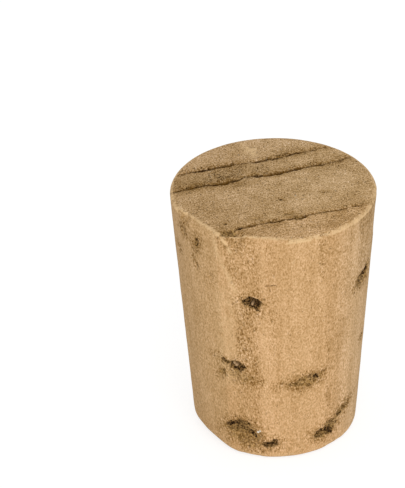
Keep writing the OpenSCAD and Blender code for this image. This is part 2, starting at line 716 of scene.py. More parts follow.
@dataclass(frozen=True)
class Pit(Carving):
    """A hollow with a ragged lens-shaped outline.

    Attributes:
        place: Its middle, in the two measures that the kind of pit uses.
        length: Length.
        width: Width.
        depth: Depth of its floor.
        slope: Turn of its length, in degrees.
        dark: How dark its floor is, from 0 to 1.
        ragged: How far its outline strays.
        halo: How strong the coarse cork round it is, from 0 to 1.
        outline: How far out the ragged outline may lie, as a share of the plain one.
        wall: Where the floor starts to sink and where it is deepest, as shares of the outline.
        shaded: Where the floor starts to darken and where it is darkest, as shares of the outline.
        coarse_reach: Distances from the outline where the coarse cork starts and is coarsest.
        stain_reach: Distances from the outline where the stain starts and is darkest.
        edge_count: Edges of the mesh across the pit.
        seeds: How many ways of straying there are.
    """

    place: Pair
    length: float
    width: float
    depth: float
    slope: float = 0.0
    dark: float = 1.0
    ragged: float = 0.16
    halo: float = 0.6
    outline: ClassVar[float] = 1.2
    wall: ClassVar[Fade] = (1.0, 0.5)
    shaded: ClassVar[Fade] = (1.1, 0.75)
    coarse_reach: ClassVar[Fade] = (0.7, 0.1)
    stain_reach: ClassVar[Fade] = (0.5, -0.1)
    edge_count: ClassVar[int] = 12
    seeds: ClassVar[int] = 40

    @abstractmethod
    def offsets(self, skin: Skin) -> tuple[Array, Array]:
        """Distances of each point from the middle, in the pit's two measures."""

    def spread(self, skin: Skin) -> Array:
        """Distance from the middle, where 1 is the plain outline.

        Args:
            skin: The skin.

        Returns:
            The distance of each point.
        """
        u, v = self.offsets(skin)
        angle = math.radians(self.slope)
        lengthways = u * math.cos(angle) + v * math.sin(angle)
        crossways = v * math.cos(angle) - u * math.sin(angle)
        return np.hypot(lengthways / (self.length / 2), crossways / (self.width / 2))

    def edge(self) -> float:
        """A part of the pit's width, within limits."""
        return min(max(self.finest, self.width / self.edge_count), 2 * self.finest)

    def distance(self, skin: Skin) -> Array:
        """Rough distance from the outline."""
        return (self.spread(skin) - self.outline) * self.width / 2

    def carve(self, skin: Skin, marks: Marks) -> None:
        """Sinks a floor and coarsens the cork round it.

        Args:
            skin: The skin.
            marks: Its marks, which the carving adds to.
        """
        near = self.near(skin)
        # The seed comes from the place, so that each pit strays in a way of its own
        seed = int(10 * abs(self.place[0]) + self.place[1]) % self.seeds
        spread = self.spread(skin.strayed(near, self.ragged, seed))
        away = (spread - 1) * self.width / 2
        marks.cut(near, self.depth * smooth(spread, *self.wall))
        marks.darken(Mask.HOLLOW, near, self.dark * smooth(spread, *self.shaded))
        marks.darken(Mask.COARSE, near, self.halo * smooth(away, *self.coarse_reach))
        marks.darken(Mask.STAIN, near, self.halo * smooth(away, *self.stain_reach))


@dataclass(frozen=True)
class Lenticel(Pit):
    """A pore that opens on the tapered side; its place is a turn and a height."""

    def offsets(self, skin: Skin) -> tuple[Array, Array]:
        """Distances round the body and up it."""
        return skin.arc_from(self.place[0]), skin.z - self.place[1]

    def far_end(self, ring_turn: float, share: float) -> "Lenticel":
        """The other end of the pore, where it comes out across the rings.

        Args:
            ring_turn: Turn of the growth rings.
            share: Size of the far end as a share of this one.

        Returns:
            The far end.
        """
        place = (2 * ring_turn + 180 - self.place[0], self.place[1])
        sizes = (self.length * share, self.width * share, self.depth * share)
        return Lenticel(place, *sizes, -self.slope, self.dark)


@dataclass(frozen=True)
class TopPit(Pit):
    """A pore in the top; its place is along and across the rings."""

    def offsets(self, skin: Skin) -> tuple[Array, Array]:
        """Distances along and across the rings, far away below the top.

        Args:
            skin: The skin.

        Returns:
            The two distances of each point.
        """
        below = np.maximum(0, skin.blank.height - skin.blank.rim_r - skin.z)
        off = skin.along - self.place[0]
        return off + np.copysign(FAR * below, off), skin.across - self.place[1]


@dataclass(frozen=True)
class PalePatch(TopPit):
    """A paler place in the top, which isn't sunk.

    Attributes:
        shaded: Where it starts to pale and where it is palest, as shares of the outline.
        seed: Picks the way its outline strays.
    """

    shaded: ClassVar[Fade] = (1.2, 0.4)
    seed: ClassVar[int] = 13

    def carve(self, skin: Skin, marks: Marks) -> None:
        """Pales the patch.

        Args:
            skin: The skin.
            marks: Its marks, which the carving adds to.
        """
        near = self.near(skin)
        spread = self.spread(skin.strayed(near, self.ragged, self.seed))
        marks.darken(Mask.EDGE, near, self.dark * smooth(spread, *self.shaded))


@dataclass(frozen=True)
class RimChip(Pit):
    """A crumbled place on the top edge; its place is a turn, and how far below the edge it lies."""

    def offsets(self, skin: Skin) -> tuple[Array, Array]:
        """Distances along the edge and from it."""
        return skin.arc_from(self.place[0]), skin.from_rim() - self.place[1]


@dataclass(frozen=True)
class GranularBand(Carving):
    """A coarse upright stretch of the side.

    Attributes:
        edges: Heights, with the turns of the left and the right edge there.
        depth: How far it is sunk.
        strength: How coarse it is, from 0 to 1.
        margin: How many degrees round its edges the band still changes the skin.
        under_top: Gap to the flat of the top, which the band doesn't change.
        ragged: How far its edges stray.
        fade: Degrees inside an edge where the band starts and is complete.
        stretch: Factors on x, y and z that draw its patches out upright.
        patch_waves: How many patches there are in a millimetre.
        patch_fade: Noise at which a patch starts and is complete.
        stain_share: How dark the stain is, as a share of the coarseness.
        seeds: Pick the way the edges stray, and the patches.
    """

    edges: tuple[tuple[float, float, float], ...]
    depth: float
    strength: float
    margin: ClassVar[float] = 6.0
    under_top: ClassVar[float] = 0.05
    ragged: ClassVar[float] = 0.25
    fade: ClassVar[Fade] = (-1.5, 2.0)
    stretch: ClassVar[tuple[float, float, float]] = (1, 1, 0.6)
    patch_waves: ClassVar[float] = 0.55
    patch_fade: ClassVar[Fade] = (-0.4, 0.35)
    stain_share: ClassVar[float] = 0.7
    seeds: ClassVar[tuple[int, int]] = (7, 3)

    def near(self, skin: Skin) -> Array:
        """Numbers of the points that the band may change."""
        below = skin.z < skin.blank.height - self.under_top
        return np.flatnonzero((self.inside(skin) > -self.margin) & below)

    def inside(self, skin: Skin) -> Array:
        """How many degrees each point lies inside the nearer edge.

        Args:
            skin: The skin.

        Returns:
            The degrees, below 0 outside the band.
        """
        z, left, right = zip(*self.edges)
        from_left = skin.turn - np.interp(skin.z, z, left)
        from_right = np.interp(skin.z, z, right) - skin.turn
        from_ends = np.degrees(np.minimum(skin.z - z[0], z[-1] - skin.z) / skin.blank.top_r)
        return np.minimum(np.minimum(from_left, from_right), from_ends)

    def distance(self, skin: Skin) -> Array:
        """Far away, because the band needs no finer mesh."""
        return np.full(len(skin.points), skin.blank.height)

    def carve(self, skin: Skin, marks: Marks) -> None:
        """Sinks the band a little, coarsens it and stains it.

        Args:
            skin: The skin.
            marks: Its marks, which the carving adds to.
        """
        near = self.near(skin)
        edge_seed, patch_seed = self.seeds
        band = smooth(self.inside(skin.strayed(near, self.ragged, edge_seed)), *self.fade)
        patches = noise_at(skin.points[near] * self.stretch, self.patch_waves, patch_seed)
        coarse = self.strength * band * (1 + smooth(patches, *self.patch_fade)) / 2
        marks.cut(near, self.depth * band)
        marks.darken(Mask.COARSE, near, coarse)
        marks.darken(Mask.STAIN, near, self.stain_share * coarse)


@dataclass(frozen=True)
class RidgeHighlight(Carving):
    """A pale line on the side: a painted highlight along a ridge where stretches of the side meet.

    Attributes:
        route: Turns and heights that it runs through.
        width: Its width.
        pale: How pale it is, from 0 to 1.
        ragged: How far its edges stray.
        edge_count: Edges of the mesh across the line.
        seed: Picks the way it strays.
    """

    route: tuple[Pair, ...]
    width: float
    pale: float
    margin: ClassVar[float] = 0.6
    ragged: ClassVar[float] = 0.06
    edge_count: ClassVar[int] = 4
    seed: ClassVar[int] = 9

    def edge(self) -> float:
        """A part of the line's width, or more."""
        return max(self.finest, self.width / self.edge_count)

    def distance(self, skin: Skin) -> Array:
        """Distance from the line's edge, far away inside the rounded edges.

        Args:
            skin: The skin.

        Returns:
            The distance of each point.
        """
        best = np.full(len(skin.points), skin.blank.height)
        for (turn, z), (next_turn, next_z) in zip(self.route, self.route[1:]):
            u, v = skin.arc_from(turn), skin.z - z
            run = np.radians(next_turn - turn) * skin.radius
            rise = next_z - z
            t = np.clip((u * run + v * rise) / (run ** 2 + rise ** 2), 0, 1)
            best = np.minimum(best, np.hypot(u - t * run, v - t * rise))
        inside = skin.blank.side_radius(skin.z) - skin.radius - skin.blank.rim_r
        return best + FAR * np.maximum(0, inside) - self.width / 2

    def carve(self, skin: Skin, marks: Marks) -> None:
        """Paints the highlight along the line.

        Args:
            skin: The skin.
            marks: Its marks, which the carving adds to.
        """
        near = self.near(skin)
        away = self.distance(skin.strayed(near, self.ragged, self.seed))
        marks.darken(Mask.EDGE, near, self.pale * smooth(away, self.width / 2, -self.width / 2))


@dataclass(frozen=True)
class Fissure(Carving):
    """A crack along a growth ring, open at the top.

    Attributes:
        route: Places along the ring, across the rings and the opening there.
        depth: Depth of the crack.
        seed: Picks the way it strays.
        ragged: How far its edges stray.
        knot: How much the knots change the opening.
        least: Smallest share of the opening that a knot leaves.
        hair: Smallest half opening, so that a closed stretch can be measured too.
        opened: Half openings of a closed and of an open stretch.
        wall: Where the floor starts to sink and where it is deepest, as shares of the half opening.
        floor_shares: Share of the depth in a closed and in an open stretch.
        shoulder: Depth of the crumbled shoulder.
        shoulder_reach: Distances from the edge where the shoulder starts and is deepest.
        shaded: Where the dark starts and is darkest, as shares of the half opening.
        crack_shares: Strength of the dark in a closed and in an open stretch.
        coarse_reach: Distances from the edge where the coarse cork starts and is coarsest.
        coarse_shares: Its strength in a closed and in an open stretch.
        stain_reach: Distances from the edge where the stain starts and is darkest.
        stain_shares: Its strength in a closed and in an open stretch.
    """

    route: tuple[tuple[float, float, float], ...]
    depth: float
    seed: int
    margin: ClassVar[float] = 1.2
    ragged: ClassVar[float] = 0.07
    knot: ClassVar[float] = 0.55
    least: ClassVar[float] = 0.2
    hair: ClassVar[float] = 0.01
    opened: ClassVar[Fade] = (0.0, 0.12)
    wall: ClassVar[Fade] = (1.15, 0.3)
    floor_shares: ClassVar[Pair] = (0.35, 1.0)
    shoulder: ClassVar[float] = 0.1
    shoulder_reach: ClassVar[Fade] = (0.25, 0.0)
    shaded: ClassVar[Fade] = (1.5, 0.7)
    crack_shares: ClassVar[Pair] = (0.55, 1.0)
    coarse_reach: ClassVar[Fade] = (0.9, 0.0)
    coarse_shares: ClassVar[Pair] = (0.3, 1.0)
    stain_reach: ClassVar[Fade] = (0.45, -0.05)
    stain_shares: ClassVar[Pair] = (0.2, 0.8)

    def middle(self, skin: Skin) -> Array:
        """Where the crack's middle lies across the rings, beside each point.

        Args:
            skin: The skin.

        Returns:
            The place across the rings.
        """
        along, across, _ = zip(*self.route)
        line = np.column_stack([skin.along, np.zeros_like(skin.along), np.zeros_like(skin.along)])
        stray = layered_noise(line, (1.1, 0.09, self.seed), (3.3, 0.05, self.seed + 1))
        return np.interp(skin.along, along, across) + stray

    def half_opening(self, skin: Skin) -> Array:
        """Half of the crack's opening beside each point."""
        along, _, opening = zip(*self.route)
        return np.interp(skin.along, along, opening, left=0, right=0) / 2

    def distance(self, skin: Skin) -> Array:
        """Rough distance from the crack's edge, far away at the side.

        Args:
            skin: The skin.

        Returns:
            The distance of each point.
        """
        off = np.abs(skin.across - self.middle(skin)) - self.half_opening(skin)
        below = np.maximum(0, skin.blank.height - skin.blank.rim_r - skin.z)
        return np.where(self.half_opening(skin) > 0, off, skin.blank.top_r) + below

    def carve(self, skin: Skin, marks: Marks) -> None:
        """Cuts the crack with crumbled shoulders and coarsens the cork beside it.

        Args:
            skin: The skin.
            marks: Its marks, which the carving adds to.
        """
        near = self.near(skin)
        kept = skin.strayed(near, self.ragged, self.seed)
        half = self.half_opening(kept)
        knots = layered_noise(kept.points, (1.7, 1.0, self.seed + 2), (4.0, 0.8, self.seed + 3))
        half *= np.maximum(self.least, 1 + self.knot * knots)
        off = np.abs(kept.across - self.middle(kept))
        spread = off / np.maximum(half, self.hair)
        beside = off - half
        wide = smooth(half, *self.opened)
        floor = self.depth * between(self.floor_shares, wide) * smooth(spread, *self.wall)
        shoulder = self.shoulder * smooth(beside, *self.shoulder_reach) * wide
        marks.cut(near, np.maximum(floor, shoulder))
        strengths = {
            Mask.CRACK: smooth(spread, *self.shaded) * between(self.crack_shares, wide),
            Mask.COARSE: smooth(beside, *self.coarse_reach) * between(self.coarse_shares, wide),
            Mask.STAIN: smooth(beside, *self.stain_reach) * between(self.stain_shares, wide),
        }
        for mask, strength in strengths.items():
            marks.darken(mask, near, strength)


@dataclass(frozen=True)
class Crumb(Carving):
    """A pale crumb that stands up from the floor of a pore.

    Attributes:
        turn: Turn of its middle.
        z: Height of its middle.
        size: Diameter.
        pale: How pale it is, from 0 to 1.
        outline: How far out it still changes the skin, as a share of its edge.
        rise: Share of the floor's depth that it fills.
        raised: Where it starts to rise and where it is highest, as shares of its edge.
        shaded: Where it starts to pale and where it is palest, as shares of its edge.
    """

    turn: float
    z: float
    size: float
    pale: float = 1.0
    outline: ClassVar[float] = 1.4
    rise: ClassVar[float] = 0.75
    raised: ClassVar[Fade] = (1.3, 0.5)
    shaded: ClassVar[Fade] = (1.2, 0.6)

    def spread(self, skin: Skin) -> Array:
        """Distance from the middle, where 1 is its edge."""
        return np.hypot(skin.arc_from(self.turn), skin.z - self.z) / (self.size / 2)

    def distance(self, skin: Skin) -> Array:
        """Distance from its edge."""
        return (self.spread(skin) - 1) * self.size / 2

    def carve(self, skin: Skin, marks: Marks) -> None:
        """Raises the floor again, no higher than the skin.

        Args:
            skin: The skin.
            marks: Its marks, which the carving adds to.
        """
        spread = self.spread(skin)
        near = np.flatnonzero(spread < self.outline)
        marks.depth[near] *= 1 - self.rise * smooth(spread[near], *self.raised)
        marks.darken(Mask.CRUMB, near, self.pale * smooth(spread[near], *self.shaded))


@dataclass(frozen=True)
class WornFlat:
    """A flat worn on the top or the base edge.

    Attributes:
        turn: Turn of its middle.
        reach: How far it reaches in along the end.
        at_top: True for the top edge.
        lean: Lean of the flat from upright.
        soft_top: How softly a flat of the top edge starts.
        soft_base: How softly a flat of the base edge starts.
        uneven: How uneven the flat is.
        waves: How many waves its unevenness has in a millimetre.
        margin: How far from the flat points are still moved.
        seed: Picks the unevenness.
    """

    turn: float
    reach: float
    at_top: bool
    lean: float = 45.0
    soft_top: ClassVar[float] = 0.12
    soft_base: ClassVar[float] = 0.4
    uneven: ClassVar[float] = 0.05
    waves: ClassVar[float] = 0.8
    margin: ClassVar[float] = 1.0
    seed: ClassVar[int] = 5

    def height(self, blank: TurnedBlank, points: Array) -> tuple[Array, Array]:
        """Finds how far points stand out of the flat.

        Args:
            blank: The blank that the points lie on.
            points: Points in millimetres.

        Returns:
            The heights, and the direction that the flat faces.
        """
        angle, lean = math.radians(self.turn), math.radians(self.lean)
        edge_r, z, up = (blank.top_r, blank.height, 1) if self.at_top else (blank.base_r, 0, -1)
        out = np.array([math.sin(angle), -math.cos(angle), 0])
        start = out * (edge_r - self.reach) + np.array([0, 0, z])
        normal = out * math.cos(lean) + np.array([0, 0, up * math.sin(lean)])
        return (points - start) @ normal, normal

    def wear(self, blank: TurnedBlank, points: Array) -> Array:
        """Moves the points that stand out of the flat down to it, and returns them all.

        Args:
            blank: The blank that the points lie on.
            points: Points in millimetres.

        Returns:
            All the points.
        """
        soft = self.soft_top if self.at_top else self.soft_base
        height, normal = self.height(blank, points)
        height += self.uneven * noise_at(points, self.waves, self.seed) * (np.abs(height) < self.margin)
        sunk = np.where(height > -self.margin, (height + np.sqrt(height ** 2 + soft ** 2)) / 2, 0)
        sunk = np.maximum(0, sunk - soft * soft / 4)
        return points - np.outer(sunk, normal)


class Refiner:
    """Splits triangles until their edges are short enough where the skin has detail."""

    def __init__(self, points: Array, corners: Array) -> None:
        """Keeps the points and the triangles."""
        self.points = points
        self.corners = corners

    def split(self, longest: "SizeRule", passes: int) -> None:
        """Splits long edges in the middle, a few times over.

        Args:
            longest: Gives the longest edge that each place may have.
            passes: How often the whole mesh is looked at.
        """
        for _ in range(passes):
            ends = np.stack([self.corners, np.roll(self.corners, -1, axis=1)], axis=2)
            ends.sort(axis=2)
            pairs, which = np.unique(ends.reshape(-1, 2), axis=0, return_inverse=True)
            first, second = self.points[pairs[:, 0]], self.points[pairs[:, 1]]
            middle = (first + second) / 2
            long = np.linalg.norm(first - second, axis=1) > longest.at(middle)
            if not long.any():
                return
            number = np.where(long, len(self.points) + np.cumsum(long) - 1, -1)
            self.points = np.concatenate([self.points, middle[long]])
            self.corners = self._cut(number[which.ravel()].reshape(-1, 3))

    def _cut(self, added: Array) -> Array:
        """Cuts each triangle at the new points on its edges.

        Args:
            added: The new point on each of a triangle's edges, or -1.

        Returns:
            The new triangles.
        """
        marked = added >= 0
        count = marked.sum(axis=1)
        first = np.argmax(marked, axis=1)
        after_gap = (np.argmin(marked, axis=1) + 1) % 3
        start = np.where(count == 2, after_gap, first)
        order = (start[:, None] + np.arange(3)) % 3
        a, b, c = np.take_along_axis(self.corners, order, 1).T
        ab, bc, ca = np.take_along_axis(added, order, 1).T
        patterns = {
            0: ((a, b, c),),
            1: ((a, ab, c), (ab, b, c)),
            2: ((ab, b, bc), (a, ab, bc), (a, bc, c)),
            3: ((a, ab, ca), (ab, b, bc), (ca, bc, c), (ab, bc, ca)),
        }
        made = [
            np.stack(triangle, axis=1)[count == number]
            for number, triangles in patterns.items()
            for triangle in triangles
        ]
        return np.concatenate(made)


@dataclass
class SizeRule:
    """How long the edges of the mesh may be.

    Attributes:
        blank: The blank.
        carvings: What is carved into it.
        ring_turn: Turn of the growth rings.
        plain: Longest edge on the plain skin.
        rim: Longest edge on the rounded edges.
        growth: How fast edges get longer away from a carving.
    """

    blank: TurnedBlank
    carvings: list[Carving]
    ring_turn: float
    plain: float = 0.34
    rim: float = 0.17
    growth: float = 0.7

    def at(self, points: Array) -> Array:
        """Longest edge at each point.

        Args:
            points: Points in millimetres.

        Returns:
            The lengths in millimetres.
        """
        skin = Skin(self.blank, points, self.ring_turn)
        size = np.full(len(points), self.plain)
        for carving in self.carvings:
            away = np.maximum(0, carving.distance(skin))
            size = np.minimum(size, carving.edge() + self.growth * away)
        edge = np.minimum(skin.from_rim(), skin.from_foot())
        return np.minimum(size, self.rim + self.growth * np.maximum(0, edge - self.blank.rim_r))


@dataclass
class ReliefTree:
    """Presses the carving and the cork's own unevenness into the skin.

    Attributes:
        swell: Height of the slow swell of the sanded surface.
        grain: Height of the grain.
        rough: Height of the crumbled floor of a pore or crack.
        seed: Picks the part of the noise that is used.
        swell_waves: Texture of the swell.
        grain_waves: Texture of the grain.
        rough_waves: Texture of the crumbled floor.
    """

    swell: float = 0.05
    grain: float = 0.018
    rough: float = 0.2
    seed: float = 3.0
    swell_waves: Texture = (0.45, 1.0, 0.5)
    grain_waves: Texture = (2.4, 2.0, 0.5)
    rough_waves: Texture = (3.6, 2.0, 0.6)

    def inputs(self) -> dict[str, Value]:
        """What the tree's named inputs take.

        Returns:
            The values, by the names of the inputs.
        """
        return {
            "Swell": self.swell * MM,
            "Grain": self.grain * MM,
            "Rough": self.rough * MM,
            "Seed": self.seed,
        }

    def tree(self) -> bpy.types.NodeTree:
        """Builds the tree.

        Returns:
            The tree.
        """
        kinds = {label: "Float" for label in self.inputs()}
        group = Group("cork_relief", "GeometryNodeTree",
                      {"Geometry": "Geometry", **kinds, "Side Finish": "Material", "End Finish": "Material"},
                      {"Geometry": "Geometry"})
        place = group.node("GeometryNodeInputPosition").outputs[0]
        offset = group.point(group.given("Seed"), group.given("Seed"), group.given("Seed"))
        place = group.vector("ADD", group.scaled(place, PER_MM), offset)
        open_cork = group.math("MAXIMUM", group.attribute(Mask.HOLLOW), group.attribute(Mask.CRACK))
        rough = group.product(group.given("Rough"), open_cork)
        layers = (
            (self.swell_waves, group.given("Swell")),
            (self.grain_waves, group.given("Grain")),
            (self.rough_waves, rough),
        )
        sunk = group.product(group.attribute(Mask.CARVE), MM)
        for waves, height in layers:
            sunk = group.math("MULTIPLY_ADD", group.clouds(place, *waves), height, sunk)
        normal = group.node("GeometryNodeInputNormal").outputs["Normal"]
        inwards = group.scaled(normal, group.product(sunk, -1.0))
        pressed = group.changed("SetPosition", group.given("Geometry"), Offset=inwards)
        real = group.changed("RealizeInstances", group.changed("SetShadeSmooth", pressed))
        side = group.changed("SetMaterial", real, Material=group.given("Side Finish"))
        is_end = group.math("GREATER_THAN", group.attribute(Mask.END), 0.5)
        ends = group.changed("SetMaterial", side, Selection=is_end, Material=group.given("End Finish"))
        group.put("Geometry", ends)
        return group.tree


@dataclass(frozen=True)
class GrowthRings:
    """The effect that colours the cork by its growth rings.

    Attributes:
        turn: Turn of the growth rings in degrees.
        blank: The blank, because the rings follow its taper.
        stops: Places across the rings in millimetres, with a display colour each.
        reach: Half of the stretch that the stops span.
        slow: Texture of the rings' slow bend.
        slow_bend: How far it bends them.
        quick: Texture of their quick bend.
        quick_bend: How far it bends them.
        darker_left: Places along the rings where the surface starts to darken and is darkest.
        greyer_right: Places along the rings where the surface starts to turn greyer and is greyest.
        streak: Texture of the streaks.
        streak_drawn: How close the streaks lie across the rings, along them and upwards.
        streak_fade: Values of the texture that give a dark and a pale streak.
        streak_tones: Tones of a dark and of a pale streak.
        stain_front: Places across the rings where the stained ring starts and is darkest.
        stain_back: The same from its back.
        stain_right: Places along the rings where the stain starts and is darkest.
        stain_left: The same from the left.
        stain_left_shares: Its strength at those two places.
        stain_drop: How far below the top the stain has faded.
        stain_drop_shares: Its strength there and at the top.
        stain_patches: Texture of the stain.
        stain_fade: Values of the texture where the stain starts and is darkest.
        stain_strength: How much the stain colours the ring.
    """

    turn: float
    blank: TurnedBlank
    stops: tuple[tuple[float, tuple[int, int, int]], ...] = (
        (-8.8, (214, 173, 124)),
        (-7.8, (212, 170, 121)),
        (-6.3, (210, 169, 120)),
        (-6.0, (211, 170, 121)),
        (-5.35, (211, 170, 121)),
        (-5.05, (200, 162, 114)),
        (-3.0, (202, 165, 118)),
        (-0.4, (201, 165, 119)),
        (1.6, (199, 163, 117)),
        (2.2, (196, 160, 114)),
        (3.4, (198, 162, 116)),
        (4.7, (196, 160, 114)),
        (5.1, (200, 164, 119)),
        (8.8, (204, 168, 124)),
    )
    reach: float = 9.0
    slow: Texture = (0.22, 1.0, 0.5)
    slow_bend: float = 0.3
    quick: Texture = (2.2, 2.0, 0.5)
    quick_bend: float = 0.5
    darker_left: Fade = (6.0, -8.0)
    greyer_right: Fade = (1.5, 5.5)
    streak: Texture = (1.0, 3.0, 0.6)
    streak_drawn: tuple[float, float, float] = (1.7, 0.7, 0.09)
    streak_fade: Fade = (0.25, 0.75)
    streak_tones: Pair = (0.92, 1.08)
    stain_front: Fade = (1.6, 2.5)
    stain_back: Fade = (5.2, 4.2)
    stain_right: Fade = (4.5, -2.0)
    stain_left: Fade = (-7.5, -3.5)
    stain_left_shares: Pair = (0.5, 1.0)
    stain_drop: float = 4.0
    stain_drop_shares: Pair = (0.3, 1.0)
    stain_patches: Texture = (0.8, 3.0, 0.6)
    stain_fade: Fade = (0.25, 0.6)
    stain_strength: float = 0.3

    def group(self) -> bpy.types.NodeTree:
        """Builds the node group.

        Returns:
            The group.
        """
        group = Group("growth_rings", "ShaderNodeTree",
                      {"Point": "Vector", "Wander": "Float", "Darker Left": "Float", "Greyer Right": "Float"},
                      {"Colour": "Color", "Coarse": "Float"})
        point = group.given("Point")
        across, along, z = self._places(group, point)
        slow, quick = (
            group.math("SUBTRACT", group.clouds(point, *waves), 0.5) for waves in (self.slow, self.quick)
        )
        bent = group.math("MULTIPLY_ADD", slow, self.slow_bend, across)
        bent = group.math("MULTIPLY_ADD", group.product(quick, self.quick_bend), group.given("Wander"), bent)
        colour = self._ramp(group, bent)
        # Darker towards the left and greyer towards the right, along the rings
        for label, fade, tone in (("Darker Left", self.darker_left, Tone.DARKER_LEFT), ("Greyer Right", self.greyer_right, Tone.GREYER_RIGHT)):
            strength = group.product(group.remap(along, *fade), group.given(label))
            colour = group.mix(strength, colour, tone.linear)
        drawn = zip((across, along, z), self.streak_drawn)
        streaks = group.clouds(group.point(*(group.product(*pair) for pair in drawn)), *self.streak)
        colour = group.toned(colour, group.remap(streaks, *self.streak_fade, *self.streak_tones))
        high = self.blank.height
        stain = group.product(
            group.remap(bent, *self.stain_front),
            group.remap(bent, *self.stain_back),
            group.remap(along, *self.stain_right),
            group.remap(along, *self.stain_left, *self.stain_left_shares),
            group.remap(z, high - self.stain_drop, high, *self.stain_drop_shares),
            group.remap(group.clouds(point, *self.stain_patches), *self.stain_fade),
        )
        strength = group.product(stain, self.stain_strength)
        group.put("Colour", group.mix(strength, colour, Tone.STAINED_RING.linear))
        group.put("Coarse", group.math("MAXIMUM", group.shade(Mask.COARSE), stain))
        return group.tree

    def _places(self, group: Group, point: Socket) -> tuple[Socket, Socket, Socket]:
        """Finds where a point lies in the rings.

        Args:
            group: The group that the nodes go into.
            point: The point in millimetres.

        Returns:
            Its places across the rings and along them, and its height.
        """
        x, y, z = group.parts(point)
        cos, sin = math.cos(math.radians(self.turn)), math.sin(math.radians(self.turn))
        blank = self.blank
        radius = group.math("MULTIPLY_ADD", z, (blank.top_r - blank.base_r) / blank.height, blank.base_r)
        widen = group.math("DIVIDE", blank.top_r, radius)
        across = group.product(group.math("MULTIPLY_ADD", x, -sin, group.product(y, cos)), widen)
        along = group.math("MULTIPLY_ADD", x, cos, group.product(y, sin))
        return across, along, z

    def _ramp(self, group: Group, across: Socket) -> Socket:
        """Adds a colour ramp across the rings.

        Args:
            group: The group that the nodes go into.
            across: Place across the rings in millimetres.

        Returns:
            The colour.
        """
        place = group.math("MULTIPLY_ADD", across, 0.5 / self.reach, 0.5)
        made = group.node("ShaderNodeValToRGB", {"Fac": place})
        elements = made.color_ramp.elements
        while len(elements) < len(self.stops):
            elements.new(1.0)
        for element, (stop, colour) in zip(elements, self.stops):
            element.position = 0.5 + 0.5 * stop / self.reach
            element.color = paint(*colour)
        return made.outputs["Color"]


@dataclass(frozen=True)
class CorkGrain:
    """The effect that gives cork its fine cells, clumps and specks, and painted glints: pale spots that stand
    in for highlights.

    A pair of strengths is for plain and for coarse cork.

    Attributes:
        tones: Tones of the cork.
        least_tone: Darkest tone that the grain may give.
        cells: Texture of the cells.
        cell_swing: How much cells change the tone.
        clumps: Texture of the clumps.
        clump_swing: How much clumps change the tone.
        patches: Texture of the patches.
        patch_swing: How much patches change the tone.
        aside: Where the textures of specks and painted glints are taken, away from the cells.
        specks: Texture of the specks.
        speck_limits: Values of the texture above which specks start.
        speck_edge: How far above that a speck is complete.
        speck_strength: How dark specks are.
        glints: Texture of the painted glints, pale spots that stand in for light catching the grain.
        glint_fade: Values of the texture where a painted glint starts and is palest.
        glint_strength: How pale the painted glints are.
    """

    tones: Pair = (1.0, 0.76)
    least_tone: float = 0.1
    cells: Texture = (8.0, 1.0, 0.6)
    cell_swing: Pair = (1.2, 3.4)
    clumps: Texture = (3.0, 2.0, 0.6)
    clump_swing: Pair = (0.2, 0.95)
    patches: Texture = (0.5, 2.0, 0.5)
    patch_swing: Pair = (0.25, 1.15)
    aside: tuple[float, float, float] = (31.0, 7.0, 13.0)
    specks: Texture = (4.4, 2.0, 0.7)
    speck_limits: Pair = (0.68, 0.57)
    speck_edge: float = 0.1
    speck_strength: Pair = (0.2, 0.6)
    glints: Texture = (6.0, 1.0, 0.6)
    glint_fade: Fade = (0.6, 0.72)
    glint_strength: Pair = (0.25, 0.35)

    def group(self) -> bpy.types.NodeTree:
        """Builds the node group.

        Returns:
            The group.
        """
        group = Group("cork_grain", "ShaderNodeTree",
                      {"Point": "Vector", "Stretch": "Float", "Coarse": "Float", "Plain": "Float",
                       "Colour": "Color"},
                      {"Colour": "Color", "Height": "Float"})
        x, y, z = group.parts(group.given("Point"))
        drawn = group.point(x, y, group.product(z, group.given("Stretch")))
        aside = group.vector("ADD", drawn, self.aside)
        coarse = group.math("MAXIMUM", group.given("Coarse"), group.given("Plain"))
        cells, clumps, patches = (
            group.clouds(drawn, *texture) for texture in (self.cells, self.clumps, self.patches)
        )
        tone = group.between(self.tones, group.given("Coarse"))
        layers = ((cells, self.cell_swing), (clumps, self.clump_swing), (patches, self.patch_swing))
        for waves, swing in layers:
            centred = group.math("SUBTRACT", waves, 0.5)
            tone = group.math("MULTIPLY_ADD", centred, group.between(swing, coarse), tone)
        colour = group.toned(group.given("Colour"), group.math("MAXIMUM", tone, self.least_tone))
        limit = group.between(self.speck_limits, coarse)
        above = group.math("SUBTRACT", group.clouds(aside, *self.specks), limit)
        speck = group.remap(above, 0.0, self.speck_edge)
        # Painted glints: pale spots that stand in for light catching the grain
        glint = group.remap(group.clouds(aside, *self.glints), *self.glint_fade)
        spots = ((speck, self.speck_strength, Tone.SPECK), (glint, self.glint_strength, Tone.GLINT))
        for spot, strength, spot_tone in spots:
            share = group.product(spot, group.between(strength, coarse))
            colour = group.mix(share, colour, spot_tone.linear)
        group.put("Colour", colour)
        group.put("Height", group.math("SUBTRACT", group.math("ADD", cells, clumps), speck))
        return group.tree


